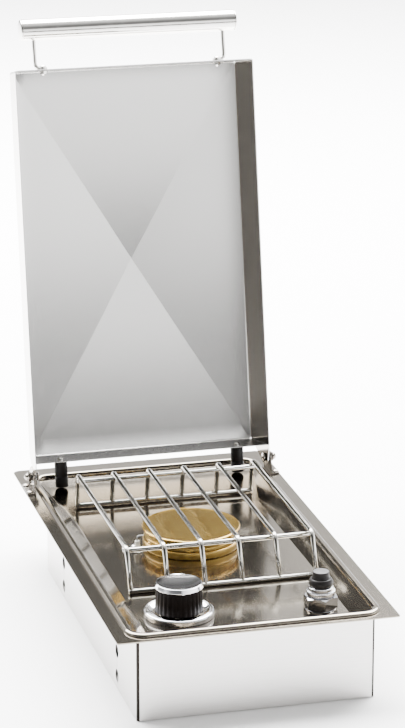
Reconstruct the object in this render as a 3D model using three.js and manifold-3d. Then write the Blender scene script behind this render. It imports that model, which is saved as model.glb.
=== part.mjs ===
// A built in gas side burner: a pressed stainless top plate on a sheet metal box, with a welded
// wire grate over a brass burner, a gas valve, a push button igniter and a hinged lid.
// Millimetres, +X right, +Y to the back, +Z up. The origin is under the box, below the middle of
// the top plate. Sizes below are measured from the top face of the plate's flange unless said.

import * as THREE from 'three';
import { mergeVertices } from 'three/addons/utils/BufferGeometryUtils.js';
import Module from 'manifold-3d';

const wasm = await Module();
wasm.setup();

// Shared sheet, fits and fineness
const clearance = 0.3;
const overrun = 2;
const plateSheet = 1.2;
const boxSheet = 1;
const lidSheet = 1;
const roundSteps = 24;
const middleSteps = 16;
const smallSteps = 8;
const cornerSteps = 4;
const hexagonSides = 6;
const pointsPerFlute = 4;

// Top plate: flange, raised bead and sloping tray
const plateWidth = 312;
const plateLength = 560;
const flangeFrontRadius = 3;
const flangeBackRadius = 9;
const beadHalfWidth = 141.5;
const beadFront = -271;
const beadBack = 254;
const beadRadius = 22;
const beadWidth = 9.5;
const beadHeight = 4;
const beadInnerDrop = 1;
const beadSteps = 5;
const floorHalfWidth = 112;
const floorFront = -245;
const floorBack = 134.5;
const floorDepth = 11;
const floorRadius = 3;

// Box under the plate
const boxHeight = 96.6;
const boxHalfWidth = 132;
const boxFront = -267;
const boxBack = 195;
const boxBend = 3;
const frontSeam = -174;
const backSeam = 99;
const panUpstand = 12;
const ventRadius = 7.5;
const ventPitch = 28.5;
const lowestVentDepth = 82;
const ventCount = 3;
const hoseHoleRadius = 20;

// Lid, measured closed from its pivot: forward is along -Y, up is +Z
const openAngle = THREE.MathUtils.degToRad(100.66);
const pivotBack = 208.5;
const pivotHeight = 17;
const lidHalfWidth = 138.75;
const lidLength = 462.8;
const lidBackSetback = 15.8;
const lidTop = 48.1;
const lidSkirt = 15.5;
const lidBackSkirt = 11.5;
const lidSideFlare = 5.4;
const lidFrontFlare = 3.5;
const lidBend = 2.5;
const lidCorner = 3;
const lidCrown = 3;
const lidBendSteps = 3;
const earShift = 0.15;
const earReach = 44;
const earOverlapTop = 40;
const earRadius = 11;
const earTaper = 12;
const reliefRadius = 1.6;

// Lid handle
const handleRadius = 11;
const handleWall = 1.2;
const handleHalfLength = 127;
const handleStandoff = 49.4;
const handleReach = lidBackSetback + lidLength + handleStandoff;
const handleLift = 11;
const handleCapDome = 2.5;
const handleCapSpigot = 8;
const handleRodRadius = 2.25;
const handleRodInset = 12;
const handleBoltInset = 9;
const handleRodSpacing = handleHalfLength - handleRodInset;
const handleBoltSpacing = handleRodSpacing - handleBoltInset;
const handleFootRadius = 5.5;
const handleFootLift = 8;
const handleFootThickness = 2.4;
const handleRodBend = 6;
const handleBoltRadius = 2;
const handleNutRadius = 4.2;
const handleNutHeight = 3.2;
const handleBoltTail = 2;

// Bumpers that stop the open lid
const bumperRadius = 7.8;
const bumperSpacing = 109;
const bumperHeight = 8;
const bumperBore = 2;
const bumperChamfer = 1;
const bumperScrewDepth = 12;

// Lid hinges
const hingePinRadius = 3;
const hingeHeadRadius = 5.5;
const hingeHeadHeight = 2.6;
const bracketSheet = 1.5;
const bracketGap = 1.15;
const bracketFoot = 10.1;
const bracketInside = lidHalfWidth + lidSideFlare + bracketGap;
const bracketOutside = bracketInside + bracketFoot;
const bracketHalfLength = 17.5;
const bracketEarRadius = 12;
const bracketScrewSpacing = 12;
const bracketBossRadius = 6.5;
const acornRadius = 5.6;
const acornHexHeight = 4.2;
const acornDomeRadius = 4.4;

// Small screws
const screwRadius = 2;
const screwHeadRadius = 3.8;
const screwHeadHeight = 2.2;
const screwLength = 7;

// Cooking grate of welded wire
const grateCentre = 3.5;
const gratePitch = 42.55;
const grateWires = 6;
const grateWireRadius = 2.4;
const grateTop = 37;
const grateFrontBend = -98;
const grateBackBend = 152;
const grateFrontFoot = -119;
const grateBackFoot = 158;
const grateBendRadius = 9;
const grateBarInset = 8;
const grateWeld = 0.25;
const grateSides = 8;
const grateBendSteps = 3;

// Burner
const burnerX = -0.4;
const burnerY = 15.9;
const headRadius = 55.5;
const headTierTop = -2.2;
const headUpperRadius = 54;
const headShoulder = 3;
const headRounding = 1.4;
const headPortTop = 9.7;
const headPortBottom = 5.4;
const headPortRadius = 51.5;
const headWall = 4;
const headBase = 4;
const throatRadius = 12;
const throatBore = 9.5;
const throatLength = 13;
const portPairs = 18;
const portWidth = 2;
const capRadius = 56.3;
const capThickness = 2;
const capRim = 0.5;
const capRimWidth = 3;
const capSpigotDepth = 3;
const capSpigotWall = 3;
const capLugWidth = 7;
const capLugReach = 3;
const capLugSpread = 5;
const locknutRadius = 20;
const locknutHeight = 5.5;

// Mixer tube, air shutter and orifice
const mixerFit = 0.6;
const mixerBore = throatRadius + mixerFit;
const mixerRadius = 14;
const mixerDepth = 45;
const mixerBend = 20;
const mixerStart = 35;
const mixerSteps = 10;
const mixerWindowLength = 16;
const mixerWindowWidth = 14;
const mixerWindowInset = 8;
const shutterRadius = 15.6;
const shutterLength = 22;
const orificeHexRadius = 7;
const orificeHexLength = 6;
const orificeTipRadius = 3.2;
const orificeTipLength = 9;
const orificeBore = 0.7;

// Gas valve
const knobX = -66.5;
const knobY = -190;
const valveRadius = 13;
const valveDepth = 42;
const valveBore = 8.3;
const valveBoreDepth = 36;
const valveEarWidth = 44;
const valveEarDepth = 18;
const valveEarThickness = 3;
const valveScrewSpacing = 17;
const outletRadius = 6;
const outletBore = 2.5;
const outletReach = 22;
const inletRadius = 7;
const inletLength = 14;
const inletBore = 4;
const plugLength = 20;
const plugTaper = 0.6;
const stemRadius = 4;
const stemFlat = 2.6;
const stemTop = 13;
const stemCollarRadius = 6;
const stemCollarHeight = 2;
const stemSocket = 10;
const stemTip = 6;
const knobTravel = 3;
const springWire = 0.5;
const valveSpringRadius = 5.4;
const valveSpringTurns = 5;
const stepsPerTurn = 6;
const springSides = 5;
const fittingHexRadius = 10.5;
const fittingHexHeight = 9;
const fittingRadius = 8;
const fittingLength = 17;

// Control knob and bezel
const bezelRadius = 38.4;
const bezelBore = 28.5;
const bezelHeight = 6.7;
const bezelEdge = 2;
const bezelDish = 3;
const knobRadius = 26.5;
const knobTopRadius = 25;
const knobBottom = -5;
const knobShoulder = 21.5;
const knobFlutes = 28;
const knobFluteDepth = 0.8;
const knobWall = 3;
const knobHubRadius = 8;
const knobCapRadius = 26.7;
const knobCapHeight = 5;
const knobCapDish = 2;
const knobCapEdge = 2.2;
const knobCapRecess = 1.6;
const knobCapTopRadius = 22.8;
const knobPointerWidth = 11;
const knobPointerReach = 1.6;
const knobPointerDepth = 4;
const knobPointerHeight = 3.2;

// Igniter
const igniterX = 87.6;
const igniterY = -209;
const igniterRadius = 11;
const igniterBore = 8;
const igniterDepth = 50;
const igniterEndWall = 3;
const igniterLip = 15;
const igniterLipHeight = 2.5;
const igniterTerminalRadius = 1.6;
const igniterTerminalLength = 6;
const igniterWasherRadius = 17.6;
const igniterWasherHeight = 0.8;
const igniterNutRadius = 19.2;
const igniterNutHeight = 13.4;
const igniterNutChamfer = 1.6;
const collarRadius = 15.6;
const collarHeight = 6.2;
const collarTeeth = 32;
const collarToothDepth = 0.5;
const collarRingRadius = 13.9;
const collarRingHeight = 4.2;
const collarTop = 2;
const bootRadius = 13.5;
const bootHeight = 9;
const bootNarrowing = 1.5;
const bootBulgeShares = [1 / 3, 1 / 2, 5 / 6];
const buttonRadius = 10;
const buttonTopRadius = 9;
const buttonStepShares = [1 / 2, 2 / 3];
const buttonHeight = 13;
const buttonSeat = 3.8;
const buttonDish = 0.6;
const buttonTravel = 3;
const plungerRadius = 4;
const plungerLength = 16;
const igniterSpringRadius = 4.4;
const igniterSpringTurns = 6;
const batteryRadius = 5.25;
const batteryLength = 43;
const batteryTipRadius = 1.9;
const batteryTip = 1.2;

// Spark electrode and its lead
const electrodeX = -66;
const electrodeY = 6;
const electrodeRadius = 1;
const ceramicRadius = 2.8;
const ceramicShoulder = 4;
const ceramicTop = 2;
const ceramicTail = 5;
const electrodeTip = 7.5;
const electrodeBend = 2;
const electrodeTail = 4;
const electrodeGap = 3.6;
const clampWidth = 11;
const clampLength = 24;
const clampSheet = 1.2;
const clampScrewInset = 5.5;
const leadRadius = 1.5;
const leadSteps = 28;
const leadSides = 5;
const leadFromIgniter = [[0, 0, 0], [0, 0, -8], [-6, 14, -12], [-14, 46, 6]];
const leadUnderFloor = [[48, -126, -13], [34, -96, -5], [-6, -62, -8], [-32, -38, -9]];
const leadToElectrode = [[6, -12, -12], [0, 0, -6], [0, 0, 0]];

// Heights that follow from the sizes above
const flangeUnder = -plateSheet;
const floorTop = -floorDepth;
const floorUnder = floorTop - plateSheet;
const boxBottom = -boxHeight;
const beadInnerHalfWidth = beadHalfWidth - beadWidth;
const sideSlope = (floorDepth - beadInnerDrop) / (beadInnerHalfWidth - floorHalfWidth);
const backSlope = (floorDepth - beadInnerDrop) / (beadBack - beadWidth - floorBack);

const finish = (color, metalness, roughness) => () => (
  new THREE.MeshStandardMaterial({ color, metalness, roughness })
);
const stainless = finish(0xc6c2ba, 1, 0.32);
const boxSteel = finish(0xd4d2cf, 1, 0.42);
const polished = finish(0xd8d6d2, 1, 0.12);
const chrome = finish(0xe2e2e4, 1, 0.06);
const brass = finish(0xc79a4b, 1, 0.25);
const blackPlastic = finish(0x1b1a1c, 0, 0.4);
const rubber = finish(0x201c1d, 0, 0.75);
const ceramic = finish(0xeeebe2, 0, 0.35);
const springSteel = finish(0xa8a8a8, 1, 0.35);
const leadCover = finish(0x2a2a2c, 0, 0.6);

// Signed volume of a closed triangle mesh, negative when its faces point inwards.
function signedVolume(positions, index) {
  const corner = new THREE.Vector3();
  const next = new THREE.Vector3();
  const last = new THREE.Vector3();
  let volume = 0;
  for (let i = 0; i < index.length; i += 3) {
    corner.fromArray(positions, index[i] * 3);
    next.fromArray(positions, index[i + 1] * 3);
    last.fromArray(positions, index[i + 2] * 3);
    volume += corner.dot(next.cross(last));
  }
  return volume / 6;
}

// Shares vertices, drops faces without area and turns every face outwards.
function closed(geometry) {
  const bare = geometry.clone();
  bare.deleteAttribute('normal');
  bare.deleteAttribute('uv');
  const merged = mergeVertices(bare);
  const source = merged.index.array;
  const index = [];
  for (let i = 0; i < source.length; i += 3) {
    const [a, b, c] = [source[i], source[i + 1], source[i + 2]];
    if (a !== b && b !== c && c !== a) {
      index.push(a, b, c);
    }
  }
  if (signedVolume(merged.attributes.position.array, index) < 0) {
    index.reverse();
  }
  merged.setIndex(index);
  return merged;
}

function solidOf(geometry) {
  const shell = closed(geometry);
  return new wasm.Manifold(new wasm.Mesh({
    numProp: 3,
    vertProperties: new Float32Array(shell.attributes.position.array),
    triVerts: new Uint32Array(shell.index.array),
  }));
}

function geometryOf(solid) {
  const mesh = solid.getMesh();
  const geometry = new THREE.BufferGeometry();
  geometry.setAttribute('position', new THREE.BufferAttribute(mesh.vertProperties, 3));
  geometry.setIndex(new THREE.BufferAttribute(mesh.triVerts, 1));
  return geometry;
}

const join = (...pieces) => geometryOf(pieces.map(solidOf).reduce((whole, piece) => whole.add(piece)));

const cut = (body, ...tools) => (
  geometryOf(tools.map(solidOf).reduce((left, tool) => left.subtract(tool), solidOf(body)))
);

function block(x0, x1, y0, y1, z0, z1) {
  const box = new THREE.BoxGeometry(Math.abs(x1 - x0), Math.abs(y1 - y0), Math.abs(z1 - z0));
  return box.translate((x0 + x1) / 2, (y0 + y1) / 2, (z0 + z1) / 2);
}

function disc(radius, bottom, top, steps = roundSteps) {
  const cylinder = new THREE.CylinderGeometry(radius, radius, top - bottom, steps).rotateX(Math.PI / 2);
  return cylinder.translate(0, 0, (bottom + top) / 2);
}

// A body of revolution about Z from [radius, height] pairs that start and end on the axis.
function turned(profile, steps = roundSteps) {
  const points = profile.map(([radius, height]) => new THREE.Vector2(radius, height));
  return closed(new THREE.LatheGeometry(points, steps).rotateX(Math.PI / 2));
}

// A ring of revolution about Z, whose profile closes on itself.
const turnedRing = (profile, steps = roundSteps) => turned([...profile, profile[0]], steps);

function prism(outline, bottom, top) {
  const shape = outline instanceof THREE.Shape ? outline : new THREE.Shape(outline);
  const options = { depth: top - bottom, bevelEnabled: false, curveSegments: smallSteps };
  return closed(new THREE.ExtrudeGeometry(shape, options).translate(0, 0, bottom));
}

function roundSection(radius, sectionSides) {
  const outline = [];
  for (let i = 0; i < sectionSides; i += 1) {
    const angle = (2 * Math.PI * i) / sectionSides;
    outline.push(new THREE.Vector2(radius * Math.cos(angle), radius * Math.sin(angle)));
  }
  return new THREE.Shape(outline);
}

function rodAlong(path, radius, steps, sectionSides) {
  const options = { extrudePath: path, steps, bevelEnabled: false };
  return closed(new THREE.ExtrudeGeometry(roundSection(radius, sectionSides), options));
}

// A path of straight runs whose inner corners are rounded to a bend radius, as even points.
function bentPath(corners, radius, stepsPerBend) {
  const points = [corners[0]];
  for (let i = 1; i < corners.length - 1; i += 1) {
    const before = corners[i - 1].clone().sub(corners[i]).normalize();
    const after = corners[i + 1].clone().sub(corners[i]).normalize();
    const half = before.angleTo(after) / 2;
    const setback = radius / Math.tan(half);
    const inward = before.clone().add(after).normalize();
    const centre = inward.multiplyScalar(radius / Math.sin(half)).add(corners[i]);
    const start = before.clone().multiplyScalar(setback).add(corners[i]).sub(centre);
    const axis = new THREE.Vector3().crossVectors(after, before).normalize();
    const turn = Math.PI - 2 * half;
    for (let step = 0; step <= stepsPerBend; step += 1) {
      points.push(start.clone().applyAxisAngle(axis, (turn * step) / stepsPerBend).add(centre));
    }
  }
  points.push(corners[corners.length - 1]);
  return points;
}

// A round rod through points, with each ring square to the corner that it turns.
function rodThrough(points, radius, sectionSides) {
  const rings = points.map((point, i) => {
    const before = points[Math.max(i - 1, 0)];
    const after = points[Math.min(i + 1, points.length - 1)];
    const into = point.clone().sub(before).normalize();
    const out = after.clone().sub(point).normalize();
    return { point, along: into.add(out).normalize() };
  });
  let side = new THREE.Vector3(1, 0, 0);
  if (Math.abs(rings[0].along.x) > Math.SQRT1_2) {
    side = new THREE.Vector3(0, 0, 1);
  }
  const loops = rings.map(({ point, along }) => {
    side = side.clone().addScaledVector(along, -side.dot(along)).normalize();
    const other = new THREE.Vector3().crossVectors(along, side);
    const loop = [];
    for (let i = 0; i < sectionSides; i += 1) {
      const angle = (2 * Math.PI * i) / sectionSides;
      const spot = point.clone().addScaledVector(side, radius * Math.cos(angle));
      loop.push(spot.addScaledVector(other, radius * Math.sin(angle)));
    }
    return loop;
  });
  return loft(loops, points[0], points[points.length - 1]);
}

// Skins closed rings of equal count one after another, and closes both ends with fans.
function loft(rings, firstCentre, lastCentre) {
  const count = rings[0].length;
  const spots = [...rings.flat(), firstCentre, lastCentre];
  const firstSpot = rings.length * count;
  const index = [];
  for (let row = 0; row < rings.length - 1; row += 1) {
    for (let i = 0; i < count; i += 1) {
      const here = row * count + i;
      const beside = row * count + ((i + 1) % count);
      index.push(here, beside, beside + count, here, beside + count, here + count);
    }
  }
  const lastRow = (rings.length - 1) * count;
  for (let i = 0; i < count; i += 1) {
    index.push(firstSpot, (i + 1) % count, i);
    index.push(firstSpot + 1, lastRow + i, lastRow + ((i + 1) % count));
  }
  const geometry = new THREE.BufferGeometry().setFromPoints(spots);
  geometry.setIndex(index);
  return closed(geometry);
}

// A level rounded rectangle from front to back, with its own radii at the front and back corners.
function levelRing(halfWidth, front, back, frontRadius, backRadius, height) {
  const corners = [
    [1, front, frontRadius, -Math.PI / 2],
    [1, back, backRadius, 0],
    [-1, back, backRadius, Math.PI / 2],
    [-1, front, frontRadius, Math.PI],
  ];
  const ring = [];
  for (const [side, edge, radius, startAngle] of corners) {
    const inward = edge === front ? 1 : -1;
    for (let step = 0; step <= cornerSteps; step += 1) {
      const angle = startAngle + (Math.PI / 2) * (step / cornerSteps);
      ring.push(new THREE.Vector3(
        side * (halfWidth - radius) + radius * Math.cos(angle),
        edge + inward * radius + radius * Math.sin(angle),
        height,
      ));
    }
  }
  return ring;
}

const hexagon = (radius, bottom, top) => disc(radius, bottom, top, hexagonSides);

// A pan head screw that points down, its head sitting on height 0.
function screw(length) {
  return turned([
    [0, -length],
    [screwRadius, -length],
    [screwRadius, 0],
    [screwHeadRadius, 0],
    [screwHeadRadius, screwHeadHeight / 2],
    [screwRadius, screwHeadHeight],
    [0, screwHeadHeight],
  ], smallSteps);
}

class Coil extends THREE.Curve {
  constructor(radius, turns, bottom, top) {
    super();
    Object.assign(this, { radius, turns, bottom, top });
  }

  getPoint(share, target = new THREE.Vector3()) {
    const angle = 2 * Math.PI * this.turns * share;
    return target.set(
      this.radius * Math.cos(angle),
      this.radius * Math.sin(angle),
      this.bottom + (this.top - this.bottom) * share,
    );
  }
}

function spring(radius, turns, bottom, top) {
  const coil = new Coil(radius, turns, bottom + springWire, top - springWire);
  return rodAlong(coil, springWire, turns * stepsPerTurn, springSides);
}

function add(parent, name, geometry, material) {
  const mesh = new THREE.Mesh(closed(geometry), material());
  mesh.name = name;
  parent.add(mesh);
  return mesh;
}

const mirrored = (geometry) => closed(geometry.clone().scale(-1, 1, 1));
const sides = [['left', -1], ['right', 1]];

// The plate is one pressing: flange, rolled bead, sloping tray sides and a level tray floor.
function topPlate() {
  const beadRing = (share, height, inset) => {
    const across = inset + (beadWidth - 2 * inset) * (1 - Math.cos(Math.PI * share)) / 2;
    return levelRing(
      beadHalfWidth - across, beadFront + across, beadBack - across, beadRadius - across, beadRadius - across,
      height + beadHeight * Math.sin(Math.PI * share) - beadInnerDrop * share,
    );
  };
  const edgeRing = (height) => (
    levelRing(plateWidth / 2, -plateLength / 2, plateLength / 2, flangeFrontRadius, flangeBackRadius, height)
  );
  const floorRing = (height) => (
    levelRing(floorHalfWidth, floorFront, floorBack, floorRadius, floorRadius, height)
  );
  const shares = Array.from({ length: beadSteps + 1 }, (_, i) => i / beadSteps);
  const under = shares.map((share) => beadRing(share, flangeUnder, plateSheet)).reverse();
  const over = shares.map((share) => beadRing(share, 0, 0));
  const middle = (floorFront + floorBack) / 2;
  const pressing = loft(
    [floorRing(floorUnder), ...under, edgeRing(flangeUnder), edgeRing(0), ...over, floorRing(floorTop)],
    new THREE.Vector3(0, middle, floorUnder),
    new THREE.Vector3(0, middle, floorTop),
  );
  const through = (radius, x, y, steps) => (
    disc(radius, floorUnder - overrun, beadHeight + overrun, steps).translate(x, y, 0)
  );
  const turn = valveTurn();
  const bracketHoles = sides.flatMap(([, side]) => [-1, 1].map((end) => through(
    screwRadius + clearance, side * bracketScrewX(), pivotBack + end * bracketScrewSpacing, smallSteps,
  )));
  return cut(
    pressing,
    through(throatRadius + clearance, burnerX, burnerY, roundSteps),
    through(stemRadius + clearance, knobX, knobY, roundSteps),
    through(igniterRadius + clearance, igniterX, igniterY, roundSteps),
    through(ceramicRadius + clearance, electrodeX, electrodeY, smallSteps),
    through(screwRadius + clearance, electrodeX, electrodeY + clampScrewSpan(), smallSteps),
    ...[-1, 1].map((end) => through(
      screwRadius + clearance,
      knobX + end * valveScrewSpacing * Math.cos(turn),
      knobY + end * valveScrewSpacing * Math.sin(turn),
      smallSteps,
    )),
    ...bracketHoles,
  );
}

// The mixer tube runs straight from the valve to the burner, at this turn from the Y axis.
const valveTurn = () => Math.atan2(knobX - burnerX, burnerY - knobY);
const valveSpan = () => Math.hypot(burnerX - knobX, burnerY - knobY);
const bracketScrewX = () => (bracketInside + bracketSheet + bracketOutside) / 2;
const clampScrewSpan = () => clampLength - clampWidth / 2 - clampScrewInset;

// Tops of the box walls, kept clear of the pressed plate above them.
const slopeStart = flangeUnder - beadInnerDrop - clearance;
const sideWallTop = slopeStart - sideSlope * (beadInnerHalfWidth + plateSheet - boxHalfWidth + boxSheet);
const backWallTop = slopeStart - backSlope * (beadBack - beadWidth + plateSheet - boxBack + boxSheet);
const frontWallTop = beadHeight - plateSheet - beadInnerDrop - clearance;

// A wall sheet bent round two corners, open towards the side panels.
function cornerWall(wall, seam, top) {
  const inward = Math.sign(seam - wall);
  const path = (half, edge, radius, outline) => {
    outline.push([-half, seam]);
    outline.push([-half, edge + inward * radius]);
    for (let step = 1; step <= cornerSteps; step += 1) {
      const angle = (Math.PI / 2) * (step / cornerSteps);
      outline.push([-half + radius * (1 - Math.cos(angle)), edge + inward * radius * (1 - Math.sin(angle))]);
    }
    return outline;
  };
  const mirror = (outline) => outline.map(([x, y]) => [-x, y]).reverse();
  const outer = path(boxHalfWidth, wall, boxBend, []);
  const inner = path(boxHalfWidth - boxSheet, wall + inward * boxSheet, boxBend - boxSheet, []);
  const loop = [...outer, ...mirror(outer), ...inner.map(([x, y]) => [-x, y]), ...inner.slice().reverse()];
  return prism(loop.map(([x, y]) => new THREE.Vector2(x, y)), boxBottom, top);
}

function ventTools(seam) {
  return Array.from({ length: ventCount }, (_, i) => (
    new THREE.CylinderGeometry(ventRadius, ventRadius, 2 * (boxHalfWidth + overrun), smallSteps)
      .rotateZ(Math.PI / 2).translate(0, seam, -lowestVentDepth + i * ventPitch)
  ));
}

function boxPanels(parent) {
  const frontWall = cornerWall(boxFront, frontSeam - clearance, frontWallTop);
  const cornerTrims = sides.map(([, side]) => block(
    side * (beadHalfWidth - beadRadius), side * (boxHalfWidth + overrun),
    boxFront - overrun, frontSeam + overrun, sideWallTop, frontWallTop + overrun,
  ));
  add(parent, 'front_panel', cut(frontWall, ...cornerTrims, ...ventTools(frontSeam)), boxSteel);
  const backWall = cornerWall(boxBack, backSeam + clearance, sideWallTop);
  const backTrim = block(
    -boxHalfWidth - overrun, boxHalfWidth + overrun,
    boxBack - boxBend, boxBack + overrun, backWallTop, sideWallTop + overrun,
  );
  add(parent, 'back_panel', cut(backWall, backTrim, ...ventTools(backSeam)), boxSteel);
  for (const [name, side] of sides) {
    const panel = block(
      side * (boxHalfWidth - boxSheet), side * boxHalfWidth,
      frontSeam + clearance, backSeam - clearance, boxBottom, sideWallTop,
    );
    add(parent, `${name}_side_panel`, cut(panel, ...ventTools(frontSeam), ...ventTools(backSeam)), boxSteel);
  }
}

function bottomPan() {
  const gap = boxSheet + clearance;
  const ring = (inset, height) => levelRing(
    boxHalfWidth - gap - inset, boxFront + gap + inset, boxBack - gap - inset,
    boxBend - inset, boxBend - inset, height,
  );
  const middle = (boxFront + boxBack) / 2;
  const tray = loft(
    [
      ring(0, boxBottom),
      ring(0, boxBottom + panUpstand),
      ring(boxSheet, boxBottom + panUpstand),
      ring(boxSheet, boxBottom + boxSheet),
    ],
    new THREE.Vector3(0, middle, boxBottom),
    new THREE.Vector3(0, middle, boxBottom + boxSheet),
  );
  const hole = disc(hoseHoleRadius, boxBottom - overrun, boxBottom + boxSheet + overrun);
  return cut(tray, hole.translate(knobX, knobY, 0));
}

// Each lid side wall leans out, so its outer face is this far from the middle at a height.
const lidWallX = (height) => lidHalfWidth + lidSideFlare * ((lidTop - height) / (lidTop + lidSkirt));

function lidPan() {
  const ring = (height, inset, corner) => {
    const down = (lidTop - height) / (lidTop + lidSkirt);
    return levelRing(
      lidWallX(height) - inset,
      -lidBackSetback - lidLength - lidFrontFlare * down + inset,
      -lidBackSetback - inset,
      corner, corner, height,
    );
  };
  const skin = (sheet) => {
    const bend = lidBend - sheet;
    const rings = [];
    for (let step = 0; step <= lidBendSteps; step += 1) {
      const angle = (Math.PI / 2) * (step / lidBendSteps);
      const height = lidTop - lidBend + bend * Math.sin(angle);
      rings.push(ring(height, sheet + bend * (1 - Math.cos(angle)), lidCorner - sheet));
    }
    return rings;
  };
  const middle = -lidBackSetback - lidLength / 2;
  const inner = skin(lidSheet).reverse();
  const outer = skin(0);
  const rim = [ring(-lidSkirt, lidSheet, lidCorner - lidSheet), ring(-lidSkirt, 0, lidCorner)];
  return loft(
    [...inner, ...rim, ...outer],
    new THREE.Vector3(0, middle, lidTop - lidSheet + lidCrown),
    new THREE.Vector3(0, middle, lidTop + lidCrown),
  );
}

// The side wall runs on behind the back wall as a rounded ear that carries the pivot.
function lidEar() {
  const shoulder = new THREE.Vector2(-lidBackSetback - lidBend, lidTop - lidBend);
  const tangent = shoulder.angle() - Math.acos(earRadius / shoulder.length());
  const outline = new THREE.Shape();
  outline.moveTo(-lidBackSetback - earReach, -lidSkirt + clearance);
  outline.lineTo(-lidBackSetback - earReach, earOverlapTop);
  outline.lineTo(shoulder.x - lidBend, earOverlapTop);
  outline.lineTo(shoulder.x, shoulder.y);
  outline.absarc(0, 0, earRadius, tangent, -Math.PI / 2, true);
  outline.lineTo(-earTaper, -lidSkirt + clearance);
  const plate = prism(outline, -lidSheet, 0);
  const upright = new THREE.Matrix4().makeBasis(
    new THREE.Vector3(0, 1, 0), new THREE.Vector3(0, 0, 1), new THREE.Vector3(1, 0, 0),
  );
  const lean = Math.atan2(lidSideFlare, lidTop + lidSkirt);
  return plate.applyMatrix4(upright).rotateY(-lean).translate(lidWallX(0) - earShift, 0, 0);
}

const alongX = (geometry) => geometry.rotateY(Math.PI / 2);
const alongY = (geometry) => geometry.rotateX(-Math.PI / 2);

function lidShell() {
  const ear = lidEar();
  const pivotHole = alongX(disc(hingePinRadius + clearance, -plateWidth, plateWidth, smallSteps));
  const wallFront = -lidBackSetback - lidLength;
  const backTrim = block(
    -beadHalfWidth - 2 * clearance, beadHalfWidth + 2 * clearance,
    -lidBackSetback - lidBend - lidSheet, -lidBackSetback + overrun, -lidSkirt - overrun, -lidBackSkirt,
  );
  const holes = sides.flatMap(([, side]) => [
    alongY(disc(
      handleBoltRadius + clearance, wallFront - overrun - lidFrontFlare, wallFront + overrun, smallSteps,
    )).translate(side * handleBoltSpacing, 0, handleFootLift),
    alongY(disc(bumperBore + clearance, -lidBackSetback - overrun, -lidBackSetback + overrun, smallSteps))
      .translate(side * bumperSpacing, 0, bumperHeight),
  ]);
  const reliefEnds = [wallFront + lidBend / 2, -lidBackSetback - lidBend / 2];
  const reliefs = sides.flatMap(([, side]) => reliefEnds.map((y) => (
    new THREE.SphereGeometry(reliefRadius, smallSteps / 2, smallSteps / 2)
      .translate(side * (lidHalfWidth - lidBend / 2), y, lidTop - lidBend)
  )));
  return cut(join(lidPan(), ear, mirrored(ear)), pivotHole, backTrim, ...holes, ...reliefs);
}

// Front face of the lid's front wall at a height, with the wall's lean.
const lidFrontY = (height) => (
  -lidBackSetback - lidLength - lidFrontFlare * ((lidTop - height) / (lidTop + lidSkirt))
);

function handle(parent) {
  const axisAt = (geometry) => geometry.translate(0, -handleReach, handleLift);
  const bore = handleRadius - handleWall;
  const tube = alongX(turnedRing([
    [bore, -handleHalfLength],
    [handleRadius, -handleHalfLength],
    [handleRadius, handleHalfLength],
    [bore, handleHalfLength],
  ], middleSteps));
  const rodHoles = sides.map(([, side]) => (
    alongY(disc(handleRodRadius + clearance, 0, handleRadius + overrun, smallSteps))
      .translate(side * handleRodSpacing, 0, 0)
  ));
  add(parent, 'handle_tube', axisAt(cut(tube, ...rodHoles)), polished);
  for (const [name, side] of sides) {
    const capStart = handleHalfLength + clearance;
    const cap = alongX(turned([
      [0, capStart - handleCapSpigot],
      [bore - clearance, capStart - handleCapSpigot],
      [bore - clearance, capStart],
      [handleRadius, capStart],
      [handleRadius, capStart + handleCapDome / 2],
      [bore - handleWall, capStart + handleCapDome],
      [0, capStart + handleCapDome],
    ], middleSteps));
    add(parent, `${name}_handle_cap`, axisAt(side > 0 ? cap : mirrored(cap)), polished);
    handleFixing(parent, name, side);
  }
}

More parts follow.
